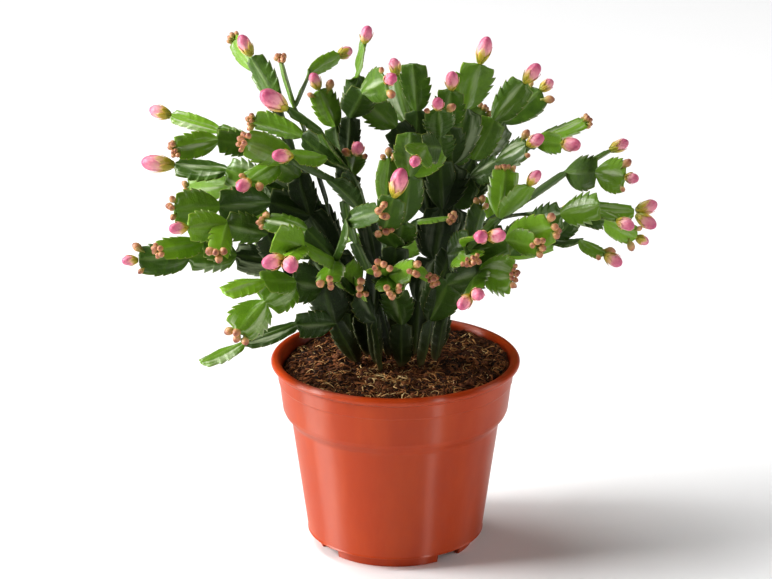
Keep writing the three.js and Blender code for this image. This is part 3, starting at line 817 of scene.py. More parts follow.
class Growth:
    """Places every shoot of every stem, one after another, by the rule that placed the solids."""

    longest = 29.0
    rib = 1.5
    base_width = 0.75
    kink = 2.2
    roll = 15.0
    clearance = 0.5
    root_share = 0.35
    foot_height = 101.2
    bud_gap = 0.3
    bud_vary = 0.3
    # A flower bud's pair is wider than one bud by this factor.
    pair_width = 2.2
    # The length of the bunch of small buds at a tip, and half the size of its box.
    small_bud = 4.6
    bunch_halves = (2.4, 4, 2.2)
    # An arch is sampled at this many places to measure its length.
    arch_samples = 201
    # Each shoot's seed is this much more than the last one's.
    seed_step = 97
    swing_way = np.array([0, 0.95, -0.33])
    swings = (0, 5, -5, 10, -10, 15, -15, 20, -20, 26, -26, 32, -32)
    turns = (0, 20, -20, 40, -40, 65, -65)
    # How far a swing or a turn alone goes for the same effort. The trials run from the least effort on.
    swing_effort = 30
    turn_effort = 40
    other_stem_cost = 10
    same_stem_cost = 1

    def __init__(self) -> None:
        """Grows all the stems."""
        self.standing: Boxes | None = None
        self.stems: dict[str, list[Shoot]] = {}
        seed = 1
        for number, (name, (base, rows)) in enumerate(STEMS.items()):
            shoots: dict[str, Shoot] = {}
            for key, start, rise, tip, width, faces, carries in rows:
                shoot = Shoot(key, start, rise, np.array(tip, float), width, faces, Tip(carries), seed)
                self._place(shoot, shoots, np.array([*base, self.foot_height], float), number)
                shoots[key] = shoot
                seed += self.seed_step
            self.stems[name] = list(shoots.values())

    def _place(self, shoot: Shoot, shoots: dict[str, Shoot], foot: Array, stem: int) -> None:
        """Sets a shoot's joints and blades where it crosses least, and lets its boxes stand.

        Args:
            shoot: The shoot.
            shoots: The earlier shoots of its stem.
            foot: The stem's place on the soil.
            stem: The stem's number.
        """
        parent = shoots.get(shoot.start[0]) if shoot.start != "soil" else None
        joint = min(int(shoot.start[1:]), len(parent.joints) - 1) if parent else 0
        begin = parent.joints[joint] if parent else foot
        hosts = parent.places[joint - 1:joint + 1] if parent else np.array([], int)
        boxes = self._clearest(shoot, begin, hosts, stem)
        count = 0 if self.standing is None else len(self.standing.centres)
        shoot.places = count + np.arange(len(boxes.centres))
        self.standing = boxes if self.standing is None else self.standing.joined(boxes)

    def _clearest(self, shoot: Shoot, begin: Array, hosts: Array, stem: int) -> Boxes:
        """Tries each swing and turn, keeps the first with the least cost, and returns its boxes."""
        least, kept = math.inf, None
        for swing, turn in self._trials():
            joints = self._joints(begin, shoot.rise, shoot.tip + self.swing_way * swing, shoot.seed)
            blades = self._blades(joints, shoot, turn)
            boxes = self._boxes(shoot, blades, stem)
            cost = self._cost(boxes, self._blade_boxes(blades[:1], stem, self.root_share), hosts)
            if cost < least:
                least, kept = cost, boxes
                shoot.joints, shoot.blades = joints, blades
            if least == 0:
                break
        return kept

    def _trials(self) -> list[Pair]:
        """The swings and turns to try, the easiest first."""
        trials = [(swing, turn) for swing in self.swings for turn in self.turns]
        return sorted(trials, key=lambda trial: (
            abs(trial[0]) / self.swing_effort + abs(trial[1]) / self.turn_effort))

    def _joints(self, begin: Array, rise: float, tip: Array, seed: int) -> Array:
        """The joints of an arch, spaced evenly along it, each but the ends kinked by seeded draws.

        The arch is (1 - t)^2 begin + 2 t (1 - t) handle + t^2 tip, and its handle stands over its start.
        """
        handle = begin + np.array([0, 0, rise])

        def arch(share: Array) -> Array:
            """The arch's points at shares of t."""
            share = share[:, None]
            return (1 - share) ** 2 * begin + 2 * share * (1 - share) * handle + share**2 * tip

        shares = np.linspace(0, 1, self.arch_samples)
        steps = np.linalg.norm(np.diff(arch(shares), axis=0), axis=1)
        lengths = np.concatenate([[0], np.cumsum(steps)])
        count = math.ceil(lengths[-1] / self.longest)
        joints = arch(np.interp(np.linspace(0, lengths[-1], count + 1), lengths, shares))
        for index in range(1, count):
            joints[index] += [self.kink * draw(seed + 7 * index + axis) for axis in range(3)]
        return joints

    def _blades(self, joints: Array, shoot: Shoot, turn: float) -> list[Blade]:
        """The blades between the joints, turned about their own length."""
        count = len(joints) - 1
        blades = []
        for index in range(count):
            along = unit(joints[index + 1] - joints[index])
            hint = np.array(FACINGS[shoot.faces[index * len(shoot.faces) // count]].value)
            roll = math.radians(turn + self.roll * draw(shoot.seed + 11 * index + 5))
            out = turned_about(unit(hint - along * (hint @ along)), along, roll)
            first = shoot.start == "soil" and index == 0
            width = shoot.width * (self.base_width if first else 1)
            ends = joints[index], joints[index + 1]
            blades.append(Blade(*ends, along, np.cross(out, along), out, width, shoot.seed + 13 * index))
        return blades

    def _blade_boxes(self, blades: list[Blade], stem: int, past: float = 0) -> Boxes:
        """The boxes about the blades, or about what is left of them past a share of their length."""
        spare = self.clearance / 2
        return Boxes.of([(
            blend(blade.start, blade.end, (1 + past) / 2), blade,
            (blade.length * (1 - past) / 2 + spare, blade.width / 2 + spare, self.rib + spare), False,
        ) for blade in blades], stem)

    def _boxes(self, shoot: Shoot, blades: list[Blade], stem: int) -> Boxes:
        """The boxes about a shoot's blades and about what its tip carries."""
        boxes = self._blade_boxes(blades, stem)
        last, bud = blades[-1], shoot.bud
        if bud:
            halves = bud.length / 2, bud.radius * (self.pair_width if bud.pair else 1), bud.radius
            centre = last.end + last.along * (self.bud_gap + halves[0] + self.clearance / 2)
            return boxes.joined(Boxes.of([(centre, last, halves, True)], stem))
        if shoot.carries is Tip.SMALL_BUDS:
            centre = last.end + last.along * self.small_bud / 2
            return boxes.joined(Boxes.of([(centre, last, self.bunch_halves, False)], stem))
        return boxes

    def _cost(self, boxes: Boxes, rootless: Boxes, hosts: Array) -> int:
        """What the boxes' crossings cost. The blade that a shoot grows from may touch the shoot's root."""
        if self.standing is None:
            return 0
        meets = boxes.meet(self.standing)
        if len(hosts):
            meets[0, hosts] = rootless.meet(self.standing.at(hosts))[0]
        apart = self.standing.stems[None] != boxes.stems[:, None]
        apart = apart | boxes.buds[:, None] | self.standing.buds[None]
        return int((meets * np.where(apart, self.other_stem_cost, self.same_stem_cost)).sum())


# Blades.


class BladeForm:
    """The form that every blade takes: the columns of its section and the rows of its toothed outline."""

    # How far out each column lies, as a share of the half-width: over the face, then back under it.
    face = (1.0, 0.94, 0.8, 0.6, 0.4, 0.22, 0.1, 0.0, -0.1, -0.22, -0.4, -0.6, -0.8, -0.94, -1.0)
    under = (-0.92, -0.62, -0.28, 0.0, 0.28, 0.62, 0.92)
    # Where the teeth's points lie along the edge, how deep the cut before each is, and the rows between.
    points = (0.0, 0.23, 0.41, 0.585, 0.755, 0.955)
    cuts = (0.0, 0.14, 0.24, 0.27, 0.26)
    steps = (0.05, 0.3, 0.58, 0.83, 1.0)
    slim_cuts = (0.0, 0.05, 0.12, 0.25, 0.24)
    # Rows past the last tooth, back in to the neck: place along the edge, and share of the half-width.
    closing = ((0.962, 0.46), (0.975, 0.3), (0.988, 0.2), (1.0, 0.12))
    # Half the widths of the necks between blades, at a side shoot's root, and at a tip without a bud.
    neck = 1.9
    root_neck = 1.5
    tip_neck = 1.3
    # Where along its edge a blade is widest, and where its rows lie on the rib for places on the edge.
    widest = 0.64
    lag_places = (0, 0.2, 0.42, 0.7, 0.9, 0.96, 1)
    lags = (0, 0.09, 0.14, 0.15, 0.11, 0.08, 0)
    # Heights and thicknesses in millimetres.
    rib_height = 0.45
    edge_height = -0.6
    edge_lift = 0.9
    wave_height = 0.45
    vein_height = 0.36
    ridge_thick = 0.75
    neck_thick = 0.95
    skin_thick = (0.2, 0.3)
    # How far a blade bends out of its plane, as a share of its length.
    bend = 0.045

    def __init__(self) -> None:
        """Works out the rows and columns."""
        self.across = np.array([*self.face, *self.under])
        self.side = np.array([1.0] * len(self.face) + [-1.0] * len(self.under))
        self.far = np.abs(self.across)
        gaps = np.diff(self.points)
        rows = np.array(self.points[:-1])[:, None] + gaps[:, None] * np.array(self.steps)
        self.edge = np.concatenate([[0], rows.ravel(), [place for place, _ in self.closing]])
        self.step = np.concatenate([[1], np.tile(self.steps, len(gaps)), np.ones(len(self.closing))])
        teeth = np.repeat(np.arange(len(gaps)), len(self.steps))
        self.tooth = np.concatenate([[0], teeth, np.zeros(len(self.closing), int)]).astype(int)
        self.closing_out = np.array([out for _, out in self.closing])

    def envelope(self, edge: Array) -> Array:
        """The outline without teeth: a quick rise to the widest place, and a slow fall to the blunt tip."""
        rise = (1 - (1 - np.minimum(edge / self.widest, 1)) ** 2.4) ** 0.85
        fall = 1 - 0.36 * (np.maximum(edge - self.widest, 0) / (1 - self.widest)) ** 2.0
        return rise * fall

    def outline(self, blade: Blade, slim: bool, side: int) -> Array:
        """One edge of a blade.

        Just past each tooth's point the edge cuts in, and from there it climbs back to the envelope. The
        cut follows the row's own line, so that the tooth overhangs and no face folds.

        Returns:
            The edge's places along the blade, as shares of its length, how far out they would lie without
            teeth, as shares of the half-width, and how deep the teeth cut in there.
        """
        depth = 0.75 + 0.5 * draw(blade.seed + 31 + side)
        cuts = np.array(self.slim_cuts if slim else self.cuts)[self.tooth] * depth
        cut = cuts * (1 - self.step) ** 1.25
        out = self.envelope(self.edge)
        out[-len(self.closing):] = self.closing_out
        tremble = 0.02 * np.sin(9 * self.edge + 6 * draw(blade.seed + 41 + side))
        inner = np.minimum(1, np.minimum(5 * self.edge, 8 * np.maximum(self.points[-1] - self.edge, 0)))
        offset = 0.04 * side * np.sign(draw(blade.seed + 2)) * inner
        return np.stack([self.edge + offset, out * (1 + tremble), cut])

    def rings(self, blade: Blade, slim: bool, before: Blade, after: Blade, ends: Pair) -> Array:
        """The rings of one blade, from neck to neck.

        A ring's points lie across the blade by the edge's share of the half-width, along it by a place
        that runs ahead from the rib to the edge, and out of it by a middle surface, which falls from the rib
        to the edges, plus or minus half the thickness: a thin skin and a rounded rib.

        Args:
            blade: The blade.
            slim: Whether it has few teeth.
            before: The blade that it follows.
            after: The blade that follows it.
            ends: The half-widths of its two necks.

        Returns:
            Points as (rows, columns, 3).
        """
        half, length = blade.width / 2, blade.length
        left, right = (self.outline(blade, slim, side)[..., None] for side in (1, -1))
        edge, reach, cut = np.where(self.across >= 0, left, right)
        cut = cut * self.far**2.5
        reach = reach * (1 - cut)
        rib = (self.edge - np.interp(self.edge, self.lag_places, self.lags))[:, None]
        share = self.edge[:, None]
        neck = blend(ends[0], ends[1], share)
        wide = neck + (half - neck) * np.maximum(reach, 0)
        near_neck = np.minimum(hill(share, 0.07) + hill(1 - share, 0.03), 1)
        lift = self.edge_height + self.edge_lift * reach * draw(blade.seed + 1)
        wave = self.wave_height * np.sin(9.5 * share + 3 * draw(blade.seed + 51)) * draw(blade.seed + 61)
        middle = blend(self.rib_height, lift + wave * reach, self.far**2)
        vein = self.vein_height * np.cos(2 * np.pi * self.step)[:, None] * self.far * (1 - self.far) * reach
        thin, thicker = self.skin_thick
        skin = np.where(self.far < 1, thin + thicker * (1 - self.far**2), 0)
        ridge = self.ridge_thick * (1 - 0.5 * share) * hill(self.far, 0.12)
        neck_thick = self.neck_thick * np.sqrt(1 - self.far**2) * neck / self.neck
        thick = blend(skin + ridge, neck_thick, near_neck)
        middle = blend(middle, 0.3 - 0.5 * self.far**2, near_neck)
        height = middle + vein * (self.side > 0) + self.side * thick
        height = height + self.bend * length * draw(blade.seed + 71) * np.sin(np.pi * rib)
        place = rib + (edge - rib) * self.far**1.3 * (1 - 1.3 * cut)
        across, out = (self._turned(way, blade, before, after, share) for way in ("across", "out"))
        return (blade.start + place[..., None] * length * blade.along
                + (wide * self.across)[..., None] * across + height[..., None] * out)

    @staticmethod
    def _turned(way: str, blade: Blade, before: Blade, after: Blade, share: Array) -> Array:
        """A blade's direction, across or out, at each row. Its necks turn to meet its neighbours' own."""
        own = getattr(blade, way)
        first, last = (unit(own + getattr(other, way)) for other in (before, after))
        return unit(own + hill(share, 0.1) * (first - own) + hill(1 - share, 0.06) * (last - own))[:, None]

    def base(self, place: Array, blade: Blade, half_width: float, thick: float) -> Array:
        """A plain oval ring about a place, in a blade's directions."""
        height = 0.3 - 0.4 * self.far**2 + self.side * thick * np.sqrt(1 - self.far**2)
        return place + (half_width * self.across)[:, None] * blade.across + height[:, None] * blade.out


@dataclass
class Studio:
    """The plain pale floor, the soft lights and the camera at the photograph's angle."""

    picture: tuple[int, int] = (772, 579)
    focal_pixels: float = 2885.0
    sensor: float = 36.0
    pitch: float = 19.0
    camera_place: Triple = (-4.98, -1418.3, 627.4)
    floor_side: float = 9000.0
    sky_place: Triple = (-0.45, 0.35, 1.0)
    sky_strength: float = 1.6
    sky_spread: float = 30.0
    world_strength: float = 0.02
    contrast: str = "Medium High Contrast"
    floor_tones: Pair = (0.93, 0.85)

    # Each soft box: its name, place, the height that it is aimed at, width, height and power in watts.
    boxes = (
        ("left_box", (-2600, -240, 1180), 150, 1280, 2300, 130),
        ("right_strip", (930, -1120, 540), 120, 190, 1040, 6),
        ("right_box", (2300, 350, 1000), 150, 900, 1800, 12),
    )

    def build(self) -> None:
        """Makes the floor, the lights, the world and the camera."""
        self._floor()
        for name, place, aim, width, height, power in self.boxes:
            light = bpy.data.lights.new(name, "AREA")
            light.shape = "RECTANGLE"
            light.size, light.size_y = width * MM, height * MM
            light.energy = power
            self._stand(name, light, place, self._towards(Vector((0, 0, aim)) - Vector(place)))
        sky = bpy.data.lights.new("ceiling", "SUN")
        sky.energy, sky.angle = self.sky_strength, math.radians(self.sky_spread)
        self._stand("ceiling", sky, (0, 0, 0), self._towards(-Vector(self.sky_place)))
        self._world()
        self._camera()

    def _floor(self) -> None:
        """A large pale square under the pot."""
        half = self.floor_side / 2 * MM
        corners = [(x * half, y * half, 0) for x, y in ((-1, -1), (1, -1), (1, 1), (-1, 1))]
        mesh = bpy.data.meshes.new("floor")
        mesh.from_pydata(corners, [], [range(4)])
        floor = bpy.data.objects.new("floor", mesh)
        shader = Shader("floor_paper")
        grain = shader.noise(3, shader.places(), 2)
        light, dark = ((tone, tone, tone, 1) for tone in self.floor_tones)
        mesh.materials.append(shader.finish(
            Base_Color=shader.mix(grain * 0.02, light, dark), Roughness=0.8, Specular_IOR_Level=0.1))
        bpy.context.scene.collection.objects.link(floor)
        floor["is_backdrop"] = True

    @staticmethod
    def _towards(way: Vector) -> Euler:
        """The turn that points a light along a direction."""
        return way.to_track_quat("-Z", "Y").to_euler()

    @staticmethod
    def _stand(
        name: str, data: bpy.types.ID, place: Iterable[float], turn: Iterable[float]
    ) -> bpy.types.Object:
        """Puts a light or a camera at a place in the scene."""
        made = bpy.data.objects.new(name, data)
        made.location = Vector(place) * MM
        made.rotation_euler = turn
        bpy.context.scene.collection.objects.link(made)
        return made

    def _world(self) -> None:
        """The faint light from all sides, and how the picture's tones are shown."""
        world = bpy.data.worlds.new("studio")
        world.use_nodes = True
        background = world.node_tree.nodes["Background"].inputs
        background["Color"].default_value = (1, 1, 1, 1)
        background["Strength"].default_value = self.world_strength
        scene = bpy.context.scene
        scene.world = world
        scene.view_settings.view_transform = "Standard"
        scene.view_settings.look = self.contrast

    def _camera(self) -> None:
        """The camera, fitted to the pot's ellipses."""
        data = bpy.data.cameras.new("photo_view")
        data.sensor_width = self.sensor
        data.lens = self.focal_pixels / self.picture[0] * self.sensor
        data.clip_end = 100
        turn = (math.radians(90 - self.pitch), 0, 0)
        bpy.context.scene.camera = self._stand("photo_view", data, self.camera_place, turn)


@dataclass
class LeafyStem:
    """One leafy stem: its chains of blades, and the small buds and bristles on them."""

    name: str
    shoots: list[Shoot]
    form: BladeForm
    foot_depth: float = 10.5
    slim_width: float = 17.0
    # A blade's youth and painted shade: its youth at a tip in the open, what each blade nearer the soil takes
    # from it, what a draw changes in it, and the painted shade, a darker colour for the blades within a reach
    # of the axis, where the plant's own shade falls.
    tip_youth: float = 0.78
    ageing: float = 0.24
    youth_vary: float = 0.22
    shade: float = 0.35
    shade_reach: float = 52.0
    # The way to the light whose glare is painted on a blade as silver colour, what a draw changes in how far
    # the blade faces it, from where on the painted glare shows, and how fast it grows.
    painted_glare_way: Triple = (-0.5, -0.35, 0.8)
    painted_glare_vary: float = 0.25
    painted_glare_start: float = 0.5
    painted_glare_gain: float = 2.2

    # The two small buds beside a flower bud: side, distance back from the tip, length and radius.
    beside = ((1, 2.2, 6.4, 2.2), (-1, 2.0, 4.0, 1.4))
    # The two bristles and the speck of wool at a notch: lean outwards, length and half its width.
    hairs = ((0.2, 1.7, 0.09), (0.9, 1.3, 0.08), (0.5, 0.5, 0.34))
    hair_rows = (-0.1, 0.5, 0.92)

    def build(self, skin: Material, small_skin: Material, hair: Material) -> None:
        """Makes the blades one piece, the bristles at their edges another, and the small buds a third."""
        blades, bristles, buds = TubeMesh(), TubeMesh(), TubeMesh()
        for shoot in self.shoots:
            self._chain(shoot, blades, bristles)
            self._small_buds(shoot, buds)
        blades.piece(f"blades_{self.name}", skin, "stem", [f"stem_{self.name}"])
        bristles.piece(f"bristles_{self.name}", hair, "stem")
        if buds.count:
            buds.piece(f"small_buds_{self.name}", small_skin, "bud")

    def _chain(self, shoot: Shoot, mesh: TubeMesh, bristles: TubeMesh) -> None:
        """Adds a shoot's blades as one closed tube, from its foot or root to its tip, and their bristles."""
        form, blades = self.form, shoot.blades
        from_soil = shoot.start == "soil"
        grid = [self._root(blades[0], from_soil)]
        none = np.zeros(len(grid[0]))
        columns = {name: [none] for name in ("youth", "seed", "run", "bloom")}
        columns["bark"] = [none + from_soil]
        for index, blade in enumerate(blades):
            slim = shoot.width < self.slim_width or (not from_soil and index == 0)
            before, after = blades[max(index - 1, 0)], blades[min(index + 1, len(blades) - 1)]
            near = form.neck if index or from_soil else form.root_neck
            far = form.neck if index < len(blades) - 1 or shoot.bud else form.tip_neck
            rows = form.rings(blade, slim, before, after, (near, far))
            self._bristles(blade, rows, bristles)
            kept = slice(min(index, 1), None)
            grid.append(rows[kept])
            for name, value in self._tones(shoot, index).items():
                columns[name].append(np.broadcast_to(value, form.edge.shape)[kept])
        tones = {name: np.concatenate(values)[:, None] for name, values in columns.items()}
        mesh.add(np.concatenate(grid), margin=form.far[None], across=form.across[None], **tones)

    def _root(self, blade: Blade, from_soil: bool) -> Array:
        """The rings before a shoot's first blade: down into the soil, or back into the parent blade."""
        if not from_soil:
            return self.form.base(blade.start - blade.along * 1.6, blade, 1.0, 0.4)[None]
        down = np.array([0, 0, -1.0])
        depths = (self.foot_depth, self.foot_depth / 2, 1.0)
        return np.array([self.form.base(blade.start + down * depth, blade, 2.0, 1.3) for depth in depths])

    def _tones(self, shoot: Shoot, index: int) -> dict[str, Array | float]:
        """What the skin's shader reads from the rows of one of a shoot's blades."""
        blade, edge, from_soil = shoot.blades[index], self.form.edge, shoot.start == "soil"
        below_tip = len(shoot.blades) - 1 - index + (0.3 if from_soil else 0)
        # Painted shade: blades near the plant's middle are given a darker colour.
        inner = hill(math.hypot(*blade.end[:2]), self.shade_reach)
        youth = self.tip_youth - self.ageing * below_tip + self.youth_vary * draw(blade.seed + 81)
        # Painted highlight: the more a blade faces the light, the more silver glare is painted on it.
        lit = float(blade.out @ unit(np.array(self.painted_glare_way))) + self.painted_glare_vary * draw(blade.seed + 87)
        return {
            "youth": np.clip(youth - self.shade * inner, 0, 1),
            "seed": blade.seed % Growth.seed_step,
            "run": edge,
            "bloom": np.clip(self.painted_glare_gain * (lit - self.painted_glare_start), 0, 1),
            "bark": 0.8 * np.exp(-edge * 4) * (from_soil and index == 0),
        }

    def _bristles(self, blade: Blade, rows: Array, mesh: TubeMesh) -> None:
        """Adds a speck of pale wool and two short bristles at each notch of a blade's edges."""
        form = self.form
        notches = np.flatnonzero(form.step == form.steps[0])[1:]
        seats = np.concatenate([rows[notches, 0], rows[notches, len(form.face) - 1]])
        sides = np.repeat([1.0, -1.0], len(notches))[:, None]
        inward = seats - sides * blade.across * 0.35 + blade.out * 0.25
        for number, (splay, length, wide) in enumerate(self.hairs):
            lean = splay + 0.5 * draw(blade.seed + 5 * number)
            lift = 0.5 * draw(blade.seed + 3 + number)
            way = unit(blade.along + sides * blade.across * lean + blade.out * lift)
            across = unit(np.cross(way, blade.out))
            ring = circle(across[:, None], np.cross(way, across)[:, None], full_turn(3))
            grid = [inward[:, None] + way[:, None] * length * share + ring * wide * (1 - share)
                    for share in self.hair_rows]
            mesh.add(np.stack(grid, axis=1))

    def _small_buds(self, shoot: Shoot, mesh: TubeMesh) -> None:
        """Adds the small buds at a shoot's tip: a tight bunch, or two beside a flower bud."""
        last, seed = shoot.blades[-1], shoot.seed
        if shoot.carries is Tip.SMALL_BUDS:
            crowded = draw(seed + 91) > 0
            count, size = (9, 0.8) if crowded else (4, 1.1)
            for number in range(count + int(1.9 * draw(seed + 93))):
                self._bunched(shoot, number, count, size, mesh)
        elif shoot.carries is Tip.BUD_AND_SMALL:
            first_side = math.copysign(1, draw(seed + 6))
            for number, (side, back, length, radius) in enumerate(self.beside):
                way = last.across * side * first_side
                seat = last.end + way * shoot.width / 4 - last.along * back
                lean = unit(last.along + way * 0.9)
                SmallBud(seat, lean, length, radius, draw_share(seed + 7 + number)).add_to(mesh)

    def _bunched(self, shoot: Shoot, number: int, count: int, size: float, mesh: TubeMesh) -> None:
        """Adds one small bud of a bunch. They stand round the tip at golden angles, the outer ones aslant."""
        last, seed = shoot.blades[-1], shoot.seed + 101 + number
        spread = math.sqrt((number + 0.5) / count)
        turn = 2.4 * number + shoot.seed
        aside, forth = spread * math.cos(turn), spread * math.sin(turn)
        seat = last.end + last.across * aside * shoot.width * 0.2 + last.out * forth * 1.2
        seat = seat + last.along * (1.4 * (1 - spread) * size + 0.8 * draw(seed) - 0.8)
        lean = unit(last.along + last.across * aside * 1.1 + last.out * forth * 0.9)
        scale = size * (1 + 0.2 * draw(seed + 10))
        SmallBud(seat, lean, 4.4 * scale, 1.75 * scale, draw_share(seed + 20)).add_to(mesh)


@dataclass
class SmallBud:
    """A bud of a few millimetres: an egg on a short stalk, of a few dozen faces."""

    seat: Array
    along: Array
    length: float
    radius: float
    tone: float

    # Places along the bud and radii there, as shares of its length and radius.
    profile = ((-0.25, 0.3), (0.0, 0.36), (0.16, 0.62), (0.38, 0.96), (0.62, 1.0), (0.84, 0.68), (0.97, 0.26))
    sides = 8

    def add_to(self, mesh: TubeMesh) -> None:
        """Adds the bud to a mesh."""
        place, wide = np.array(self.profile).T
        angle = full_turn(self.sides)
        across = unit(np.cross(self.along, np.array([0.31, 0.17, 0.93])))
        ring = circle(across, np.cross(self.along, across), angle)
        lumps = 1 + 0.06 * np.cos(3 * angle + 5 * self.tone)
        rings = (self.seat + self.along * (place * self.length)[:, None, None]
                 + ring * (wide[:, None] * self.radius * lumps)[..., None])
        mesh.add(rings, rise=np.clip(place, 0, 1)[:, None], tone=self.tone, streak=0.0)


@dataclass
class FlowerBud:
    """A closed flower bud: overlapping petals about a plump body, with small green scales at its base."""

    seat: Array
    along: Array
    across: Array
    length: float
    radius: float
    seed: int
    petals: int = 5
    scales: int = 6

    # Places along the body and radii there, as shares: a funnel, widest past the middle, and a blunt tip.
    profile = (
        (0, 0.36), (0.08, 0.48), (0.2, 0.72), (0.34, 0.9), (0.48, 0.99), (0.62, 1), (0.75, 0.93),
        (0.86, 0.77), (0.94, 0.54), (0.985, 0.3), (1, 0.12))
    rows = 22
    columns = 30
    petal_step = 0.11
    # A scale's section: places across it, and whether on its outer or its inner side.
    scale_across = (1, 0.7, 0.35, 0, -0.35, -0.7, -1, -0.6, 0, 0.6)
    scale_side = (1, 1, 1, 1, 1, 1, 1, -1, -1, -1)
    scale_rows = 9
    scale_thick = 0.16

    def plump(self, place: Array) -> Array:
        """The body's radius at places along it."""
        return self.radius * np.interp(place, *np.array(self.profile).T)

    def add_to(self, mesh: TubeMesh) -> None:
        """Adds the body and the scales to a mesh."""
        self._body(mesh)
        self._scales(mesh)

    def _ring(self, angle: Array) -> Array:
        """The directions out from the bud's axis at angles about it."""
        return circle(self.across, np.cross(self.along, self.across), angle)

    def _body(self, mesh: TubeMesh) -> None:
        """The body. Each petal's edge stands a little proud of the next, along lines that spiral up."""
        place = (1 - np.cos(np.linspace(0, np.pi, self.rows))) / 2
        angle = full_turn(self.columns)
        spiral = (self.petals * (angle[None] + 1.5 * place[:, None] + self.seed) / (2 * np.pi)) % 1
        step = self.petal_step * (spiral - 0.6) * np.sin(np.pi * place)[:, None] ** 0.4
        wide = self.plump(place)[:, None] * (1 + step)
        rings = (self.seat + self.along * (place * self.length)[:, None, None] + self._ring(angle[None])
                 * wide[..., None])
        mesh.add(rings, rise=place[:, None], tone=draw_share(self.seed + 5), streak=spiral)

    def _scales(self, mesh: TubeMesh) -> None:
        """Small pointed scales that hug the lower body: thin lens sections about a line up the body."""
        across, side = np.array(self.scale_across), np.array(self.scale_side)
        step = np.linspace(0, 1, self.scale_rows)[:, None]
        leaf = np.sin(np.pi * np.minimum(step + 0.12, 1) ** 0.8) ** 0.7 * (1 - 0.25 * step)
        spread = 0.62 * leaf + 0.02
        thick = self.scale_thick * np.sqrt(1 - across**2)
        for number, middle in enumerate(full_turn(self.scales)):
            low = 0.03 + 0.05 * (number % 2)
            tall = 0.42 + 0.22 * (number % 2) + 0.05 * draw(self.seed + 17 + number)
            place = low + tall * step
            angle = middle + 0.3 * draw(self.seed + 23) - spread * across
            away = self.plump(place) * 1.03 + 0.18 + 0.25 * step**2 + side * thick
            rings = (self.seat + self.along * (place * self.length)[..., None]
                     + self._ring(angle) * away[..., None])
            tone = draw_share(self.seed + 29 + number)
            mesh.add(rings, rise=place * 0.75, tone=tone, streak=0.0)


def build_flower_buds(name: str, shoots: list[Shoot], skin: Material) -> None:
    """Makes each shoot's flower bud, or its two buds, one piece that stands for its solid."""
    splay, lift, aside = 0.56, 0.42, 0.3
    for shoot in shoots:
        bud = shoot.bud
        if not bud:
            continue
        mesh, last = TubeMesh(), shoot.blades[-1]
        for side in (1, -1) if bud.pair else (0,):
            outward = last.across * side
            way = unit(last.along + outward * splay)
            across = unit(last.across - way * (last.across @ way))
            height = Growth.bud_gap + bud.radius * lift * splay * abs(side)
            seat = last.end + last.along * height + outward * bud.radius * aside
            FlowerBud(seat, way, across, bud.length, bud.radius, shoot.seed + side).add_to(mesh)
        mesh.piece(f"flower_{name}_{shoot.key}", skin, "bud", [f"bud_{name}_{shoot.key}"])


# Pot and soil.


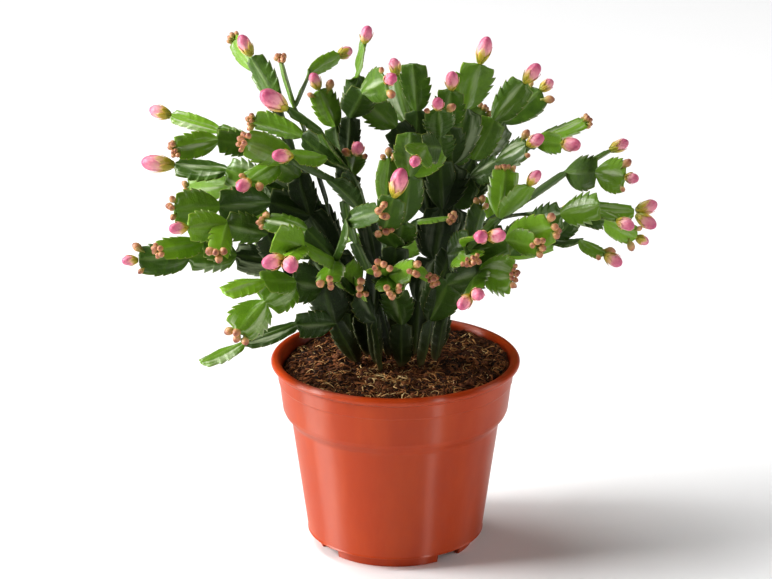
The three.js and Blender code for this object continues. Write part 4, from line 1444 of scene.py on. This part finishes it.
@dataclass
class Pot:
    """The moulded nursery pot: a body of revolution with a gapped foot ring."""

    wall: float = 1.7
    floor: float = 6.4
    foot_inner: float = 38.6
    foot_outer: float = 41.2
    foot_top: float = 5.2
    ridge: float = 46.8
    ridge_height: float = 6.6
    body_top: float = 54.7
    body_height: float = 68.5
    collar: float = 59.2
    collar_height: float = 75.3
    step: float = 61.0
    step_height: float = 90.0
    collar_top: float = 61.9
    collar_end: float = 97.5
    lip: float = 65.2
    lip_bottom: float = 98.4
    lip_top: float = 102.4
    gap_width: float = 15.5
    gap_angles: tuple[float, ...] = (43, 133, 213, 303)
    sectors: int = 144

    def outline(self) -> list[Triple]:
        """The outline from the underside's middle out, up and back inside: radius, height and rounding."""
        top_inside = self.collar_top - self.wall
        return [
            (0.0, self.floor, 0), (self.foot_inner, self.floor, 0.3), (self.foot_inner + 0.2, 0, 0.4),
            (self.foot_outer, 0, 0.5), (self.foot_outer + 0.9, self.foot_top, 0.4),
            (self.ridge, self.ridge_height, 0.5), (self.ridge - 0.4, self.ridge_height + 1, 0.3),
            (self.body_top, self.body_height, 1.2), (self.collar - 0.9, self.collar_height - 2.2, 0.4),
            (self.collar, self.collar_height, 0.4), (self.step, self.step_height, 0.3),
            (self.step + 0.5, self.step_height + 0.6, 0.3), (self.collar_top, self.collar_end, 0.4),
            (self.lip - 1.3, self.lip_bottom, 0.5), (self.lip, self.lip_bottom + 1.3, 1.2),
            (self.lip, self.lip_top - 1.3, 1.2), (self.lip - 1.3, self.lip_top, 1.0),
            (top_inside + 1.4, self.lip_top, 0.9), (top_inside, self.lip_top - 1.3, 0.8),
            *((radius, height, 0.5) for radius, height in self.inside()),
            (self.ridge - self.wall, self.floor + 2, 0.8), (0.0, self.floor + 2, 0),
        ]

    def inside(self, gap: float = 0) -> list[Pair]:
        """The inside wall from the collar's foot down to the body's top: radius less a gap, and height."""
        thin = self.wall + gap
        return [
            (self.collar - thin, self.collar_height + 0.6),
            (self.collar - thin - 0.9, self.collar_height - 2),
            (self.body_top - thin, self.body_height + 0.2),
        ]

    @staticmethod
    def rounded(outline: list[Triple]) -> Array:
        """The outline with each corner rounded by a short curve, and a support point on each side of it.

        A corner's curve is (1 - t)^2 before + 2 t (1 - t) corner + t^2 after, with its ends on the two
        lines, no further along than two fifths of them.
        """
        corners = np.array([place for *place, _ in outline])
        roundings = [rounding for *_, rounding in outline[1:]]
        curve = np.linspace(0, 1, 6)[:, None]
        points = []
        for before, corner, after, rounding in zip(corners, corners[1:], corners[2:], roundings):
            back, on = before - corner, after - corner
            start, end = (way * min(0.4, rounding / np.linalg.norm(way)) for way in (back, on))
            support = [way * min(0.48, (rounding + 0.5) / np.linalg.norm(way)) for way in (back, on)]
            arc = corner + (1 - curve) ** 2 * start + curve**2 * end
            points += [corner + support[0], *arc, corner + support[1]]
        return np.array(points)

    def build(self, plastic: Material) -> None:
        """Turns the outline about the axis, and lifts the foot ring's lower edge at its gaps."""
        profile = self.rounded(self.outline())
        plain = np.degrees(full_turn(self.sectors))
        half = math.degrees(math.asin(self.gap_width / 2 / self.foot_outer))
        gaps = np.array(self.gap_angles) - 90
        edges = [(gaps + side * (half + nudge)) % 360 for side in (-1, 1) for nudge in (-0.02, 0.02)]
        angles = np.sort(np.concatenate([plain, *edges]))
        away = np.abs((angles[:, None] - gaps + 180) % 360 - 180).min(axis=1)
        in_gap = (away < half)[None]
        radius, height = profile[:, :1], profile[:, 1:]
        height = np.where(in_gap & (height < self.foot_top) & (radius < self.ridge), self.foot_top, height)
        turn = np.radians(angles)
        rings = np.stack([radius * np.cos(turn), radius * np.sin(turn), height], axis=-1)
        mesh = TubeMesh()
        mesh.add(rings)
        mesh.piece("pot_shell", plastic, "pot", ["pot"])


@dataclass
class Soil:
    """The loose soil: its body, crumbs lying on it, and coir fibres among them."""

    top: float = 100.0
    dip: float = 0.8
    left_dip: float = 3.8
    bump: float = 0.9
    gap: float = 0.3
    sectors: int = 200
    # Out to where the surface is level, and how far from there its edge lies.
    level_radius: float = 24.0
    slope_width: float = 34.0
    # The waves that the small lumps are the sum of: how many, their lengths, and their height per length.
    waves: int = 40
    wave_lengths: Pair = (3.0, 14.0)
    wave_height: float = 0.012
    # Where the patch of pale straw before the stems lies, and how far it reaches.
    straw_place: Pair = (-6.0, -30.0)
    straw_patch: float = 15.0
    crumbs: int = 1500
    fibres: int = 3800
    seed: int = 11

    def height(self, radius: Array, angle: Array) -> Array:
        """The surface's height: level in the middle, lower at the wall and on the left, with slow bumps."""
        outward = np.maximum(0, (radius - self.level_radius) / self.slope_width)
        left = np.maximum(0, -np.cos(angle))
        bump = np.sin(7 * angle + radius) + np.sin(3 * angle - 0.3 * radius)
        return self.top - (self.dip + self.left_dip * left) * outward**1.5 + 0.5 * self.bump * bump * outward

    def clods(self, x: Array, y: Array) -> Array:
        """Small lumps: a sum of seeded waves in all directions."""
        draws = np.random.default_rng(self.seed)
        turn, phase = draws.uniform(0, 2 * np.pi, (2, self.waves))
        length = draws.uniform(*self.wave_lengths, self.waves)
        way = (x[..., None] * np.cos(turn) + y[..., None] * np.sin(turn)) * 2 * np.pi / length
        return (np.sin(way + phase) * length).sum(axis=-1) * self.wave_height

    def surface(self, x: Array, y: Array) -> Array:
        """The lumpy surface's height at places."""
        return self.height(np.hypot(x, y), np.arctan2(y, x)) + self.clods(x, y)

    def build(self, pot: Pot, crumb: Material, fibre: Material) -> None:
        """Makes the body, the crumbs and the fibres."""
        self._body(pot, crumb)
        self._crumbs(pot, fibre)
        self._fibres(pot, fibre)

    def _body(self, pot: Pot, look: Material) -> None:
        """The soil's body: up the pot's inside wall, and over the lumpy surface to the middle."""
        turn = full_turn(self.sectors)
        floor = pot.floor + 2 + self.gap
        edge = pot.ridge - pot.wall - self.gap - 0.3
        wall = np.array([(2.0, floor), (edge, floor), *reversed(pot.inside(self.gap))])
        around = np.stack([np.cos(turn), np.sin(turn), np.ones_like(turn)], axis=-1)
        low = wall[:, None, [0, 0, 1]] * around
        radius = np.linspace(pot.collar_top - pot.wall - 0.8, 0.4, 90)[:, None]
        x, y = radius * np.cos(turn), radius * np.sin(turn)
        top = np.stack([x, y, self.surface(x, y)], axis=-1)
        mesh = TubeMesh()
        mesh.add(np.concatenate([low, top]))
        mesh.piece("soil_body", look, "soil", ["soil"])

    @staticmethod
    def _scatter(count: int, reach: float, draws: np.random.Generator) -> tuple[Array, Array]:
        """Places spread evenly over a disc."""
        radius = reach * np.sqrt(draws.uniform(0, 1, count))
        turn = draws.uniform(0, 2 * np.pi, count)
        return radius * np.cos(turn), radius * np.sin(turn)

    def _crumbs(self, pot: Pot, look: Material) -> None:
        """Lumps of soil half sunk in the surface: squashed balls with dented sides."""
        draws = np.random.default_rng(self.seed + 1)
        x, y = self._scatter(self.crumbs, pot.collar_top - pot.wall - 3.5, draws)
        size = 0.5 + 1.9 * draws.uniform(0, 1, self.crumbs)[:, None, None] ** 2
        rise = np.radians([-80, -35, 10, 50, 80])[:, None]
        turn = full_turn(6)
        dent = draws.uniform(0.65, 1.25, (self.crumbs, len(rise), len(turn)))
        flat = draws.uniform(0.5, 0.9, (self.crumbs, 1, 1))
        level = np.cos(rise) * dent
        rings = np.stack([level * np.cos(turn), level * np.sin(turn), np.sin(rise) * dent * flat], axis=-1)
        rings = rings * size[..., None]
        centres = np.stack([x, y, self.surface(x, y)], axis=-1)
        mesh = TubeMesh()
        mesh.add(rings + centres[:, None, None], tone=draws.uniform(0, 0.5, (self.crumbs, 1, 1)))
        mesh.piece("soil_crumbs", look, "soil")

    def _fibres(self, pot: Pot, look: Material) -> None:
        """Thin threads that curl over the surface: three-sided tubes about an arc laid on it."""
        draws = np.random.default_rng(self.seed + 2)
        reach = pot.collar_top - pot.wall - 2.5
        x, y = self._scatter(self.fibres, reach, draws)
        share = np.linspace(-0.5, 0.5, 6)
        head, length, bend, tone = (
            draws.uniform(low, high, (self.fibres, 1))
            for low, high in ((0, 2 * np.pi), (2, 11), (-2.4, 2.4), (0, 1)))
        lift, tilt = draws.uniform(0.1, 1.5, (self.fibres, 1)), draws.uniform(-1, 1, (self.fibres, 1))
        way = head + bend * share
        px = x[:, None] + length * share * np.cos(way)
        py = y[:, None] + length * share * np.sin(way)
        shrink = np.minimum(1, reach / np.hypot(px, py))
        px, py = px * shrink, py * shrink
        pz = self.surface(px, py) + lift * np.cos(np.pi * share) + tilt * share + 0.2
        path = np.stack([px, py, pz], axis=-1)
        along = unit(np.gradient(path, axis=1) + 1e-6)
        across = unit(np.cross(along, np.array([0, 0, 1.0])))
        out = np.cross(along, across)
        thick = (0.1 + 0.4 * draws.uniform(0, 1, (self.fibres, 1)) ** 2.5) * (1 - 1.2 * share**2)
        ring = circle(across[:, :, None], out[:, :, None], full_turn(3))
        rings = path[:, :, None] + thick[..., None, None] * ring
        mesh = TubeMesh()
        middle_x, middle_y = self.straw_place
        patch = hill(np.hypot(x - middle_x, y - middle_y), self.straw_patch)[:, None, None]
        mesh.add(rings, tone=tone[..., None] ** 1.5 + 0.4 * patch)
        mesh.piece("soil_fibres", look, "soil")


def write_sizes() -> None:
    """Gathers the solids' box and the visual model's box as plain lists of numbers, and leaves them unused.
    """
    boxes = {"cad": cad_box, "visual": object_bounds()}
    boxes = {name: [list(corner) for corner in box] for name, box in boxes.items()}


def main() -> None:
    """Builds the studio, the pot, the soil and the plant."""
    logging.basicConfig(level=logging.INFO, format="%(message)s")
    Studio().build()
    pot = Pot()
    pot.build(PotPlastic().material())
    Soil().build(pot, SoilCrumb().material(), CoirFibre().material())
    skin, hair = BladeSkin().material(), BristleHair().material()
    flower, small = FLOWER_SKIN.material(), SMALL_SKIN.material()
    form = BladeForm()
    for name, shoots in Growth().stems.items():
        LeafyStem(name, shoots, form).build(skin, small, hair)
        build_flower_buds(name, shoots, flower)
    write_sizes()


if __name__ == "__main__":
    main()
